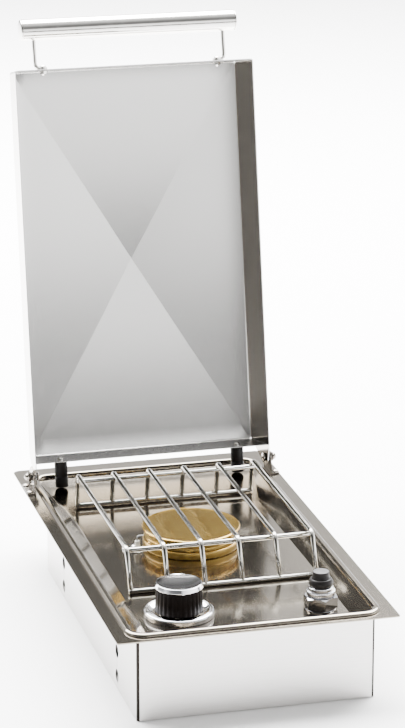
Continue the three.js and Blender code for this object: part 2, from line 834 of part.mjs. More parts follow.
// A bent rod from the tube to a flat eye on the lid's front wall, with its bolt and nut.
function handleFixing(parent, name, side) {
  const wall = lidFrontY(handleFootLift - handleFootRadius) - clearance;
  const footMiddle = wall - handleFootThickness / 2;
  const corners = [
    new THREE.Vector3(side * handleRodSpacing, -handleReach + handleRadius - handleWall, handleLift),
    new THREE.Vector3(side * handleRodSpacing, footMiddle, handleFootLift),
    new THREE.Vector3(side * handleBoltSpacing, footMiddle, handleFootLift),
  ];
  const bar = rodThrough(bentPath(corners, handleRodBend, cornerSteps - 1), handleRodRadius, grateSides);
  const faceTrim = block(
    side * (handleBoltSpacing - handleFootRadius - overrun), side * (handleRodSpacing + handleFootRadius),
    wall, wall + handleFootRadius, handleFootLift - handleFootRadius, handleFootLift + handleFootRadius,
  );
  const eye = alongY(disc(handleFootRadius, wall - handleFootThickness, wall, smallSteps))
    .translate(side * handleBoltSpacing, 0, handleFootLift);
  const outsideOfEye = block(
    side * (handleBoltSpacing - handleFootRadius), side * (handleBoltSpacing + screwHeadRadius + clearance),
    wall - handleFootThickness - handleFootRadius, wall - handleFootThickness,
    handleFootLift - handleFootRadius, handleFootLift + handleFootRadius,
  );
  const bore = alongY(disc(
    handleBoltRadius + clearance, wall - handleFootThickness - overrun, wall + overrun, smallSteps,
  )).translate(side * handleBoltSpacing, 0, handleFootLift);
  add(parent, `${name}_handle_rod`, cut(join(bar, eye), faceTrim, outsideOfEye, bore), polished);
  const headY = wall - handleFootThickness - clearance;
  const nutY = lidFrontY(handleFootLift + handleNutRadius) + lidSheet + clearance;
  const bolt = alongY(turned([
    [0, -screwHeadHeight],
    [screwRadius, -screwHeadHeight],
    [screwHeadRadius, -screwHeadHeight / 2],
    [screwHeadRadius, 0],
    [handleBoltRadius, 0],
    [handleBoltRadius, nutY + handleNutHeight + handleBoltTail - headY],
    [0, nutY + handleNutHeight + handleBoltTail - headY],
  ], smallSteps)).translate(side * handleBoltSpacing, headY, handleFootLift);
  add(parent, `${name}_handle_bolt`, bolt, polished);
  const nut = cut(
    hexagon(handleNutRadius, 0, handleNutHeight),
    disc(handleBoltRadius + clearance, -overrun, handleNutHeight + overrun, smallSteps),
  );
  const placedNut = alongY(nut).translate(side * handleBoltSpacing, nutY, handleFootLift);
  add(parent, `${name}_handle_nut`, placedNut, polished);
}

// Length that brings the open lid's bumpers down to the sloping back of the tray.
function bumperLength() {
  const lean = openAngle - Math.PI / 2;
  const across = bumperHeight + bumperRadius;
  const trayFoot = -beadInnerDrop + backSlope * (
    pivotBack + across * Math.cos(lean) - (beadBack - beadWidth)
  );
  const drop = (clearance + trayFoot + across * Math.sin(lean) - pivotHeight)
    / (Math.cos(lean) - backSlope * Math.sin(lean));
  return lidBackSetback - clearance - drop;
}

function bumpers(parent) {
  const length = bumperLength();
  const back = -lidBackSetback + clearance;
  for (const [name, side] of sides) {
    const place = (geometry, y) => alongY(geometry).translate(side * bumperSpacing, y, bumperHeight);
    const body = turnedRing([
      [bumperBore + clearance, 0],
      [bumperRadius, 0],
      [bumperRadius, length - bumperChamfer],
      [bumperRadius - bumperChamfer, length],
      [bumperBore + clearance, length],
    ], middleSteps);
    add(parent, `${name}_bumper`, place(body, back), rubber);
    const fixing = turned([
      [0, -screwHeadHeight],
      [screwRadius, -screwHeadHeight],
      [screwHeadRadius, -screwHeadHeight / 2],
      [screwHeadRadius, 0],
      [bumperBore, 0],
      [bumperBore, bumperScrewDepth],
      [0, bumperScrewDepth],
    ], smallSteps);
    const headSeat = -lidBackSetback - lidSheet - clearance;
    add(parent, `${name}_bumper_screw`, place(fixing, headSeat), polished);
  }
}

function lid(parent) {
  const group = new THREE.Group();
  group.position.set(0, pivotBack, pivotHeight);
  group.rotation.x = -openAngle;
  add(group, 'lid_shell', lidShell(), stainless);
  handle(group);
  bumpers(group);
  parent.add(group);
}

// Bracket on the flange outside each lid ear, with the pivot bolt and its domed nut.
function hinges(parent) {
  const footTop = clearance + bracketSheet;
  for (const [name, side] of sides) {
    const profile = new THREE.Shape();
    profile.moveTo(pivotBack - bracketHalfLength, clearance);
    profile.lineTo(pivotBack + bracketHalfLength, clearance);
    profile.lineTo(pivotBack + bracketHalfLength, footTop + bracketSheet);
    profile.absarc(pivotBack, pivotHeight, bracketEarRadius, 0, Math.PI, false);
    profile.lineTo(pivotBack - bracketHalfLength, footTop + bracketSheet);
    const upright = new THREE.Matrix4().makeBasis(
      new THREE.Vector3(0, 1, 0), new THREE.Vector3(0, 0, 1), new THREE.Vector3(1, 0, 0),
    );
    const leg = prism(profile, bracketInside, bracketInside + bracketSheet).applyMatrix4(upright);
    const foot = block(
      bracketInside + bracketSheet / 2, bracketOutside,
      pivotBack - bracketHalfLength + clearance, pivotBack + bracketHalfLength - clearance,
      clearance, footTop,
    );
    const pinHole = alongX(disc(
      hingePinRadius + clearance, bracketInside - overrun, bracketOutside, smallSteps,
    )).translate(0, pivotBack, pivotHeight);
    const screwHoles = [-1, 1].map((end) => (
      disc(screwRadius + clearance, -overrun, footTop + overrun, smallSteps)
        .translate(bracketScrewX(), pivotBack + end * bracketScrewSpacing, 0)
    ));
    const bossStart = lidWallX(-bracketBossRadius) + clearance;
    const boss = alongX(disc(bracketBossRadius, bossStart, bracketInside + bracketSheet / 2, smallSteps))
      .translate(0, pivotBack, pivotHeight);
    const bracket = cut(join(leg, foot, boss), pinHole, ...screwHoles);
    const placed = (geometry) => (side > 0 ? geometry : mirrored(geometry));
    add(parent, `${name}_hinge_bracket`, placed(bracket), polished);
    for (const [spot, end] of [['front', -1], ['back', 1]]) {
      const fixing = screw(screwLength).translate(
        bracketScrewX(), pivotBack + end * bracketScrewSpacing, footTop + clearance,
      );
      add(parent, `${name}_bracket_${spot}_screw`, placed(fixing), polished);
    }
    const headFace = lidWallX(hingeHeadRadius) - lidSheet - earShift - 2 * clearance;
    const nutFace = bracketInside + bracketSheet + clearance;
    const bolt = alongX(turned([
      [0, headFace - hingeHeadHeight],
      [hingePinRadius, headFace - hingeHeadHeight],
      [hingeHeadRadius, headFace - hingeHeadHeight / 2],
      [hingeHeadRadius, headFace],
      [hingePinRadius, headFace],
      [hingePinRadius, nutFace + acornHexHeight],
      [0, nutFace + acornHexHeight],
    ], smallSteps)).translate(0, pivotBack, pivotHeight);
    add(parent, `${name}_hinge_bolt`, placed(bolt), polished);
    const dome = new THREE.SphereGeometry(acornDomeRadius, smallSteps, smallSteps / 2)
      .translate(0, 0, acornHexHeight);
    const nut = cut(
      join(hexagon(acornRadius, 0, acornHexHeight), dome),
      disc(hingePinRadius + clearance, -overrun, acornHexHeight + clearance, smallSteps),
    );
    const domedNut = alongX(nut).translate(nutFace, pivotBack, pivotHeight);
    add(parent, `${name}_hinge_nut`, placed(domedNut), polished);
  }
}

// Bent wires over four cross bars, all welded into one frame.
function grate() {
  const wireTop = grateTop - grateWireRadius;
  const footHeight = floorTop + clearance + grateWireRadius;
  const backFootHeight = footHeight + backSlope * (grateBackFoot + grateWireRadius - floorBack);
  const barHeight = wireTop - 2 * grateWireRadius + grateWeld;
  const wires = [];
  for (let i = 0; i < grateWires; i += 1) {
    const x = grateCentre + (i - (grateWires - 1) / 2) * gratePitch;
    const corners = [
      new THREE.Vector3(x, grateFrontFoot, footHeight),
      new THREE.Vector3(x, grateFrontBend, wireTop),
      new THREE.Vector3(x, grateBackBend, wireTop),
      new THREE.Vector3(x, grateBackFoot, backFootHeight),
    ];
    wires.push(rodThrough(bentPath(corners, grateBendRadius, grateBendSteps), grateWireRadius, grateSides));
  }
  const half = ((grateWires - 1) * gratePitch) / 2 + grateWireRadius;
  const bars = [
    [grateFrontFoot, footHeight],
    [grateFrontBend + grateBarInset, barHeight],
    [grateBackBend - grateBarInset, barHeight],
    [grateBackFoot, backFootHeight],
  ].map(([y, z]) => rodThrough(
    [new THREE.Vector3(grateCentre - half, y, z), new THREE.Vector3(grateCentre + half, y, z)],
    grateWireRadius, grateSides,
  ));
  return join(...wires, ...bars);
}

function burner(parent) {
  const group = new THREE.Group();
  group.position.set(burnerX, burnerY, 0);
  const base = floorTop + clearance;
  const innerRadius = headPortRadius - headWall;
  const head = turnedRing([
    [throatBore, base - throatLength],
    [throatRadius, base - throatLength],
    [throatRadius, base],
    [headRadius - headRounding, base],
    [headRadius, base + headRounding],
    [headRadius, headTierTop - headRounding],
    [headRadius - headRounding / 2, headTierTop - headRounding / 4],
    [headUpperRadius - headRounding / 2, headTierTop],
    [headUpperRadius, headTierTop + headRounding],
    [headUpperRadius, headShoulder - headRounding],
    [headUpperRadius - headRounding / 2, headShoulder],
    [headPortRadius, headPortBottom - clearance],
    [headPortRadius, headPortTop],
    [innerRadius, headPortTop],
    [innerRadius, base + headBase],
    [throatBore, base + headBase],
  ]);
  const ports = Array.from({ length: portPairs }, (_, i) => (
    block(-headRadius, headRadius, -portWidth / 2, portWidth / 2, headPortBottom, headPortTop + overrun)
      .rotateZ((Math.PI * (i + 1 / 2)) / portPairs)
  ));
  add(group, 'burner_head', cut(head, ...ports), brass);
  const seat = headPortTop + clearance;
  const spigot = innerRadius - clearance;
  const cap = turned([
    [0, seat],
    [spigot - capSpigotWall, seat],
    [spigot - capSpigotWall, seat - capSpigotDepth],
    [spigot, seat - capSpigotDepth],
    [spigot, seat],
    [capRadius - capRim, seat],
    [capRadius, seat + capRim],
    [capRadius, seat + capThickness - capRim / 2],
    [capRadius - capRim, seat + capThickness + capRim / 2],
    [capRadius - capRimWidth, seat + capThickness + capRim / 2],
    [capRadius - capRimWidth - capRim, seat + capThickness],
    [0, seat + capThickness],
  ]);
  const lug = block(
    capLugSpread - capLugWidth / 2, capLugSpread + capLugWidth / 2,
    capRadius - capLugReach, capRadius + capLugReach, seat + capRim, seat + capThickness - capRim,
  );
  add(group, 'burner_cap', join(cap, lug), brass);
  const nutTop = floorUnder - clearance;
  const nut = cut(
    hexagon(locknutRadius, nutTop - locknutHeight, nutTop),
    disc(throatRadius + clearance, nutTop - locknutHeight - overrun, nutTop + overrun),
  );
  add(group, 'burner_locknut', nut, boxSteel);
  parent.add(group);
}

// Mixer tube with its air windows, the turning shutter over them and the brass orifice.
function mixer(parent) {
  const group = new THREE.Group();
  group.position.set(burnerX, burnerY, 0);
  group.rotation.z = valveTurn();
  const top = floorUnder - 2 * clearance - locknutHeight;
  const mouth = -(valveSpan() - mixerStart);
  const bendPoints = (upper, end) => bentPath(
    [
      new THREE.Vector3(0, 0, upper),
      new THREE.Vector3(0, 0, -mixerDepth),
      new THREE.Vector3(0, end, -mixerDepth),
    ],
    mixerBend, mixerSteps / 2,
  );
  const outside = rodThrough(bendPoints(top, mouth), mixerRadius, roundSteps / 2);
  const inside = rodThrough(bendPoints(top + overrun, mouth - overrun), mixerBore, roundSteps / 2);
  const windowFront = mouth + mixerWindowInset;
  const window = block(
    -mixerRadius - overrun, mixerRadius + overrun, windowFront, windowFront + mixerWindowLength,
    -mixerDepth - mixerWindowWidth / 2, -mixerDepth + mixerWindowWidth / 2,
  );
  add(group, 'mixer_tube', cut(outside, inside, window), boxSteel);
  const shutterMiddle = windowFront + mixerWindowLength / 2;
  const sleeve = turnedRing([
    [mixerRadius + clearance, -shutterLength / 2],
    [shutterRadius, -shutterLength / 2],
    [shutterRadius, shutterLength / 2],
    [mixerRadius + clearance, shutterLength / 2],
  ], middleSteps);
  const sleeveWindow = block(
    -shutterRadius - overrun, shutterRadius + overrun, -mixerWindowWidth / 2, mixerWindowWidth / 2,
    -mixerWindowLength / 2, mixerWindowLength / 2,
  );
  const shutter = alongY(cut(sleeve, sleeveWindow)).translate(0, shutterMiddle, -mixerDepth);
  add(group, 'air_shutter', shutter, boxSteel);
  parent.add(group);
}

function dSection(radius, flat) {
  const start = Math.asin(flat / radius);
  const shape = new THREE.Shape();
  shape.absarc(0, 0, radius, Math.PI - start, 2 * Math.PI + start, false);
  return shape;
}

// Valve, stem, knob and bezel share one upright axis, turned so that the outlet faces the burner.
function controls(parent) {
  const group = new THREE.Group();
  group.position.set(knobX, knobY, 0);
  group.rotation.z = valveTurn();
  const top = floorUnder - clearance;
  const bottom = top - valveDepth;
  const chamberFloor = top - valveBoreDepth;
  const ears = block(
    -valveEarWidth / 2, valveEarWidth / 2, -valveEarDepth / 2, valveEarDepth / 2,
    top - valveEarThickness, top,
  );
  const outlet = alongY(disc(outletRadius, 0, outletReach, smallSteps)).translate(0, 0, -mixerDepth);
  const outletHole = alongY(disc(outletBore, 0, outletReach + overrun, smallSteps))
    .translate(0, 0, -mixerDepth);
  const inlet = disc(inletRadius, bottom - inletLength, bottom + overrun, smallSteps);
  const inletHole = disc(inletBore, bottom - inletLength - overrun, chamberFloor + overrun, smallSteps);
  const earHoles = [-1, 1].map((end) => (
    disc(screwRadius + clearance, top - valveEarThickness - overrun, top + overrun, smallSteps)
      .translate(end * valveScrewSpacing, 0, 0)
  ));
  const body = cut(
    join(disc(valveRadius, bottom, top), ears, outlet, inlet),
    disc(valveBore, chamberFloor, top + overrun), outletHole, inletHole, ...earHoles,
  );
  add(group, 'valve_body', body, brass);
  for (const [name, side] of sides) {
    const fixing = screw(floorTop - top + valveEarThickness + clearance)
      .translate(side * valveScrewSpacing, 0, floorTop + clearance);
    add(group, `${name}_valve_screw`, fixing, polished);
  }
  const plugBottom = chamberFloor + clearance;
  const plugTop = plugBottom + plugLength;
  const plugRadius = valveBore - clearance;
  const socket = prism(
    dSection(stemRadius + clearance, stemFlat + clearance), plugTop - stemSocket, plugTop + overrun,
  );
  const plug = turned([
    [0, plugBottom],
    [plugRadius - plugTaper, plugBottom],
    [plugRadius, plugTop],
    [0, plugTop],
  ]);
  const passage = alongY(disc(outletBore, 0, plugRadius + overrun, smallSteps)).translate(0, 0, -mixerDepth);
  const rise = disc(outletBore, plugBottom - overrun, -mixerDepth, smallSteps);
  add(group, 'valve_plug', cut(plug, socket, passage, rise), brass);
  const collarHeight = top - clearance;
  const lowerStem = plugTop - stemTip;
  const stem = join(
    prism(dSection(stemRadius, stemFlat), lowerStem, stemTop),
    disc(stemCollarRadius, collarHeight - stemCollarHeight, collarHeight, smallSteps),
  );
  add(group, 'valve_stem', stem, springSteel);
  const coil = spring(
    valveSpringRadius, valveSpringTurns, plugTop + clearance, collarHeight - stemCollarHeight - clearance,
  );
  add(group, 'valve_spring', coil, springSteel);
  const fittingTop = bottom - inletLength - clearance;
  const fittingEnd = fittingTop - fittingHexHeight - fittingLength;
  const fitting = cut(
    join(
      hexagon(fittingHexRadius, fittingTop - fittingHexHeight, fittingTop),
      disc(fittingRadius, fittingEnd, fittingTop - fittingHexHeight + overrun),
    ),
    disc(inletBore, fittingEnd - overrun, fittingTop + overrun, smallSteps),
  );
  add(group, 'gas_inlet_fitting', fitting, brass);
  const orificeStart = outletReach + clearance;
  const orifice = cut(
    join(
      hexagon(orificeHexRadius, 0, orificeHexLength),
      turned([
        [0, orificeHexLength - clearance],
        [orificeTipRadius, orificeHexLength - clearance],
        [orificeTipRadius, orificeHexLength + orificeTipLength / 2],
        [orificeBore + clearance, orificeHexLength + orificeTipLength],
        [0, orificeHexLength + orificeTipLength],
      ], smallSteps),
    ),
    disc(orificeBore, -overrun, orificeHexLength + orificeTipLength + overrun, smallSteps / 2),
  );
  add(group, 'gas_orifice', alongY(orifice).translate(0, orificeStart, -mixerDepth), brass);
  knob(group);
  parent.add(group);
}

function flutedOutline(radius, depth, count) {
  const points = [];
  for (let i = 0; i < count * pointsPerFlute; i += 1) {
    const angle = (2 * Math.PI * i) / (count * pointsPerFlute);
    const reach = radius - depth * (1 + Math.cos(count * angle)) / 2;
    points.push(new THREE.Vector2(reach * Math.cos(angle), reach * Math.sin(angle)));
  }
  return points;
}

function knob(group) {
  const bezelBase = floorTop + clearance;
  const bezelTop = bezelBase + bezelHeight;
  const bezel = turnedRing([
    [bezelBore, bezelBase],
    [bezelRadius, bezelBase],
    [bezelRadius, bezelTop - bezelEdge],
    [bezelRadius - bezelEdge / 3, bezelTop - bezelEdge / 3],
    [bezelRadius - bezelEdge, bezelTop],
    [bezelRadius - 2 * bezelEdge, bezelTop],
    [bezelBore, bezelTop - bezelDish],
  ]);
  add(group, 'knob_bezel', bezel, chrome);
  const skirtRings = [knobBottom, knobShoulder].map((height, i) => {
    const radius = i === 0 ? knobRadius : knobTopRadius;
    return flutedOutline(radius, knobFluteDepth, knobFlutes)
      .map((spot) => new THREE.Vector3(spot.x, spot.y, height));
  });
  const skirt = loft(skirtRings, new THREE.Vector3(0, 0, knobBottom), new THREE.Vector3(0, 0, knobShoulder));
  const hollowRadius = knobTopRadius - knobFluteDepth - knobWall;
  const hollow = disc(hollowRadius, knobBottom - overrun, knobShoulder - knobWall);
  const hub = disc(knobHubRadius, knobBottom, knobShoulder - knobWall / 2, smallSteps);
  const socket = prism(
    dSection(stemRadius + clearance, stemFlat + clearance), knobBottom - overrun, stemTop + clearance,
  );
  add(group, 'knob_skirt', cut(join(cut(skirt, hollow), hub), socket), blackPlastic);
  const capBase = knobShoulder + clearance;
  const capTop = capBase + knobCapHeight;
  const cap = turned([
    [0, capBase],
    [knobCapRadius - knobCapEdge / 2, capBase],
    [knobCapRadius, capBase + knobCapEdge / 2],
    [knobCapTopRadius, capTop],
    [knobCapTopRadius - knobCapEdge, capTop - knobCapRecess],
    [0, capTop - knobCapDish],
  ]);
  const pointer = prism([
    new THREE.Vector2(knobPointerWidth / 2, knobPointerDepth - knobCapRadius),
    new THREE.Vector2(-knobPointerWidth / 2, knobPointerDepth - knobCapRadius),
    new THREE.Vector2(0, -knobCapRadius - knobPointerReach),
  ], capBase, capBase + knobPointerHeight).rotateZ(-valveTurn());
  add(group, 'knob_cap', join(cap, pointer), chrome);
}

function igniter(parent) {
  const group = new THREE.Group();
  group.position.set(igniterX, igniterY, 0);
  const bore = igniterRadius + clearance;
  const washerBase = floorTop + clearance;
  const nutBase = washerBase + igniterWasherHeight + clearance;
  const nutTop = nutBase + igniterNutHeight;
  const collarBase = nutTop + clearance;
  const ringTop = collarBase + collarHeight + collarRingHeight;
  const bodyTop = ringTop - collarTop - clearance;
  const bodyBottom = floorUnder - igniterDepth;
  const lipTop = floorUnder - clearance;
  const body = join(
    turned([
      [0, bodyBottom],
      [igniterRadius, bodyBottom],
      [igniterRadius, lipTop - igniterLipHeight],
      [igniterLip, lipTop - igniterLipHeight],
      [igniterLip, lipTop],
      [igniterRadius, lipTop],
      [igniterRadius, bodyTop],
      [igniterBore, bodyTop],
      [igniterBore, bodyBottom + igniterEndWall],
      [0, bodyBottom + igniterEndWall],
    ], middleSteps),
    disc(
      igniterTerminalRadius, bodyBottom - igniterTerminalLength, bodyBottom + igniterEndWall / 2,
      smallSteps / 2,
    ),
  );
  add(group, 'igniter_body', body, blackPlastic);
  add(group, 'igniter_washer', turnedRing([
    [bore, washerBase],
    [igniterWasherRadius, washerBase],
    [igniterWasherRadius, washerBase + igniterWasherHeight],
    [bore, washerBase + igniterWasherHeight],
  ]), chrome);
  const chamfer = turnedRing([
    [igniterNutRadius - igniterNutChamfer, nutTop],
    [igniterNutRadius + overrun, nutTop - igniterNutChamfer - overrun],
    [igniterNutRadius + overrun, nutTop + overrun],
    [igniterNutRadius - igniterNutChamfer, nutTop + overrun],
  ]);
  const nut = cut(
    hexagon(igniterNutRadius, nutBase, nutTop), disc(bore, nutBase - overrun, nutTop + overrun), chamfer,
  );
  add(group, 'igniter_nut', nut, chrome);
  const knurl = prism(
    flutedOutline(collarRadius, collarToothDepth, collarTeeth), collarBase, collarBase + collarHeight,
  );
  const ring = disc(collarRingRadius, collarBase + collarHeight - clearance, ringTop, smallSteps);
  const collar = cut(
    join(knurl, ring),
    disc(bore, collarBase - overrun, ringTop - collarTop),
    disc(plungerRadius + clearance, collarBase - overrun, ringTop + overrun, middleSteps),
  );
  add(group, 'igniter_collar', collar, chrome);
  const bootBase = ringTop + clearance;
  const bootBore = buttonRadius + clearance;
  const boot = turnedRing([
    [bootBore, bootBase],
    [bootRadius - bootNarrowing, bootBase],
    [bootRadius, bootBase + bootHeight * bootBulgeShares[0]],
    [bootRadius, bootBase + bootHeight * bootBulgeShares[1]],
    [bootRadius - bootNarrowing, bootBase + bootHeight * bootBulgeShares[2]],
    [bootBore + clearance, bootBase + bootHeight],
    [bootBore, bootBase + bootHeight],
  ], middleSteps);
  add(group, 'igniter_boot', boot, rubber);
  const buttonBase = bootBase + buttonSeat;
  const buttonTop = buttonBase + buttonHeight;
  const plungerBase = buttonBase - plungerLength;
  const button = turned([
    [0, plungerBase],
    [plungerRadius, plungerBase],
    [plungerRadius, buttonBase],
    [buttonRadius, buttonBase],
    [buttonRadius, buttonBase + buttonHeight * buttonStepShares[0]],
    [buttonTopRadius, buttonBase + buttonHeight * buttonStepShares[1]],
    [buttonTopRadius, buttonTop - buttonDish],
    [buttonTopRadius - buttonDish, buttonTop],
    [0, buttonTop],
  ], middleSteps);
  add(group, 'igniter_button', button, rubber);
  const batteryBase = bodyBottom + igniterEndWall + clearance;
  const batteryTop = batteryBase + batteryLength;
  const battery = turned([
    [0, batteryBase],
    [batteryRadius, batteryBase],
    [batteryRadius, batteryTop],
    [batteryTipRadius, batteryTop],
    [batteryTipRadius, batteryTop + batteryTip],
    [0, batteryTop + batteryTip],
  ], smallSteps);
  add(group, 'igniter_battery', battery, springSteel);
  const coil = spring(
    igniterSpringRadius - springWire, igniterSpringTurns,
    batteryTop + batteryTip + clearance, plungerBase - clearance,
  );
  add(group, 'igniter_spring', coil, springSteel);
  parent.add(group);
}

// Spark electrode in its ceramic, the clamp that holds it and the lead from the igniter.
function electrode(parent) {
  const group = new THREE.Group();
  group.position.set(electrodeX, electrodeY, 0);
  const clampBase = floorTop + clearance;
  const clampTop = clampBase + clampSheet;
  const bore = electrodeRadius + clearance;
  const tail = floorUnder - ceramicTail;
  const insulator = turnedRing([
    [bore, tail],
    [ceramicRadius, tail],
    [ceramicRadius, clampTop + clearance],
    [ceramicShoulder, clampTop + clearance],
    [ceramicShoulder, clampTop + clearance + ceramicShoulder],
    [ceramicRadius, clampTop + 2 * ceramicShoulder],
    [ceramicRadius, ceramicTop],
    [bore, ceramicTop],
  ], smallSteps);
  add(group, 'electrode_ceramic', insulator, ceramic);
  const towards = new THREE.Vector3(burnerX - electrodeX, burnerY - electrodeY, 0);
  const reach = towards.length() - headRadius - electrodeGap;
  towards.normalize();
  const wire = rodThrough(bentPath([
    new THREE.Vector3(0, 0, tail - electrodeTail),
    new THREE.Vector3(0, 0, electrodeTip),
    towards.clone().multiplyScalar(reach).setZ(electrodeTip),
  ], electrodeBend, cornerSteps), electrodeRadius, grateSides);
  add(group, 'spark_electrode', wire, springSteel);
  const strip = block(
    -clampWidth / 2, clampWidth / 2, -clampWidth / 2, clampLength - clampWidth / 2, clampBase, clampTop,
  );
  const clamp = cut(
    strip,
    disc(ceramicRadius + clearance, clampBase - overrun, clampTop + overrun, smallSteps),
    disc(screwRadius + clearance, clampBase - overrun, clampTop + overrun, smallSteps)
      .translate(0, clampScrewSpan(), 0),
  );
  add(group, 'electrode_clamp', clamp, polished);
  const fixing = screw(screwLength).translate(0, clampScrewSpan(), clampTop + clearance);
  add(group, 'electrode_clamp_screw', fixing, polished);
  parent.add(group);
  ignitionLead(parent, tail - electrodeTail - clearance);
}

// The lead runs close under the tray floor and passes over the mixer tube.
function ignitionLead(parent, electrodeEnd) {
  const start = floorUnder - igniterDepth - igniterTerminalLength - clearance;
  const placed = (table, x, y, z) => table.map(([dx, dy, dz]) => new THREE.Vector3(x + dx, y + dy, z + dz));
  const route = [
    ...placed(leadFromIgniter, igniterX, igniterY, start),
    ...placed(leadUnderFloor, 0, 0, floorUnder),
    ...placed(leadToElectrode, electrodeX, electrodeY, electrodeEnd),
  ];
  const lead = rodAlong(new THREE.CatmullRomCurve3(route), leadRadius, leadSteps, leadSides);
  add(parent, 'ignition_lead', lead, leadCover);
}

const sideBurner = new THREE.Group();
const assembly = new THREE.Group();
assembly.position.z = boxHeight;
sideBurner.add(assembly);

add(assembly, 'top_plate', topPlate(), stainless);
boxPanels(assembly);
add(assembly, 'bottom_pan', bottomPan(), boxSteel);
lid(assembly);
hinges(assembly);
add(assembly, 'cooking_grate', grate(), polished);
burner(assembly);
mixer(assembly);
controls(assembly);
igniter(assembly);
electrode(assembly);

export default sideBurner;
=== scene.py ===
"""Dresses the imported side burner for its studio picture, piece by piece, in the CAD's own frame."""

import logging
import math
from dataclasses import dataclass
from enum import Enum
from typing import Callable, Iterable, Optional, Sequence

import bmesh
import bpy
from mathutils import Matrix, Vector


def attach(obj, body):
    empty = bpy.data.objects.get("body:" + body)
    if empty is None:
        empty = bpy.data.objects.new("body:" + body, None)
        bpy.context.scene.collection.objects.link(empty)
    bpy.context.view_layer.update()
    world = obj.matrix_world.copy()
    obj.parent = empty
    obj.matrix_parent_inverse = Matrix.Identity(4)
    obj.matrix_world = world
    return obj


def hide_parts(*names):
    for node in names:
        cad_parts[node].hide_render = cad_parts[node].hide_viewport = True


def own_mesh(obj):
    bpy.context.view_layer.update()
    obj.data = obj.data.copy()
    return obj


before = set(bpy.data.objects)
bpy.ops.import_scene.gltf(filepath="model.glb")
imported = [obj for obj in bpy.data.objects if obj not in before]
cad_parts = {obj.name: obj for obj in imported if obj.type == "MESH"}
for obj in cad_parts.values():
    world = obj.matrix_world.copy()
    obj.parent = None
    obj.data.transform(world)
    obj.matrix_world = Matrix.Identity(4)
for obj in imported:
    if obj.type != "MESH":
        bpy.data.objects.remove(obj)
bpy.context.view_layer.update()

LOG = logging.getLogger("side_burner")
MM = 0.001
PLATE_HEIGHT = 96.6
PICTURE = (405, 728)
BLENDER_SENSOR = 36.0
UP = Vector((0, 0, 1))
RIGHT = Vector((1, 0, 0))
WELD = 2e-6
TOUCH = 1e-6
BURNER_AXIS = (-0.4, 15.9)
PATTERN_RANGE = (0.3, 0.7)
SIDES = ((-1, "left"), (1, "right"))
# Angles in degrees past which an edge stays sharp, by how the piece is made
BROKEN, PRESSED, TURNED, PLAIN, FOLDED, SMALL, COILED = 20.0, 24.0, 30.0, 34.0, 40.0, 50.0, 60.0

Mesh = bmesh.types.BMesh
Corner = bmesh.types.BMVert
Piece = bpy.types.Object
Node = bpy.types.Node
Tree = bpy.types.NodeTree
Socket = bpy.types.NodeSocket
Profile = Sequence[tuple[float, float]]


class Slot(Enum):
    """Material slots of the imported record."""

    PLATE = "pressed_stainless"
    BOX = "box_stainless"
    LID = "lid_stainless"
    POLISHED = "polished_steel"
    CHROME = "chrome_plate"
    BRASS = "brass"
    PLASTIC = "black_plastic"
    RUBBER = "black_rubber"
    CERAMIC = "glazed_ceramic"
    SPRING = "spring_steel"
    LEAD = "lead_cover"


class Body(Enum):
    """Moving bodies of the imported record."""

    HOUSING = "housing"
    LID = "lid"
    KNOB = "knob"
    BUTTON = "igniter_push"
    GRATE = "grate"
    CAP = "cap"


class Grain(Enum):
    """Direction in which a steel sheet was brushed."""

    ALONG_X = (1.0, 0.0, 0.0)
    ALONG_Y = (0.0, 1.0, 0.0)
    ALONG_Z = (0.0, 0.0, 1.0)


def linear(colour: str) -> tuple[float, float, float, float]:
    """Turns an sRGB hex colour into Blender's linear values.

    Args:
        colour: six hex digits.

    Returns:
        Red, green, blue and an alpha of one.
    """
    shares = [int(colour[i:i + 2], 16) / 255 for i in (0, 2, 4)]
    red, green, blue = [s / 12.92 if s <= 0.04045 else ((s + 0.055) / 1.055) ** 2.4 for s in shares]
    return red, green, blue, 1.0


def at(x: float, y: float, z: float) -> Vector:
    """Returns a spot in metres for millimetres to the right, to the back and above the flange."""
    return Vector((x, y, z + PLATE_HEIGHT)) * MM


def fill(node: Node, inputs: dict[str, object]) -> None:
    """Fills or links the inputs of a node.

    Args:
        node: the node.
        inputs: values or output sockets by input name, with _ for a blank, or _0, _1 by place.
    """
    for key, value in inputs.items():
        place = int(key[1:]) if key[1:].isdigit() else key.replace("_", " ")
        if isinstance(value, Socket):
            node.id_data.links.new(value, node.inputs[place])
        else:
            node.inputs[place].default_value = value


def add_node(tree: Tree, kind: str, settings: Optional[dict] = None, **inputs: object) -> Node:
    """Adds one shader node, sets its properties and fills or links its inputs.

    Args:
        tree: the node tree to add to.
        kind: the node's type name.
        settings: properties of the node itself.
        **inputs: what fill() takes.

    Returns:
        The new node.
    """
    node = tree.nodes.new(kind)
    for key, value in (settings or {}).items():
        setattr(node, key, value)
    fill(node, inputs)
    return node


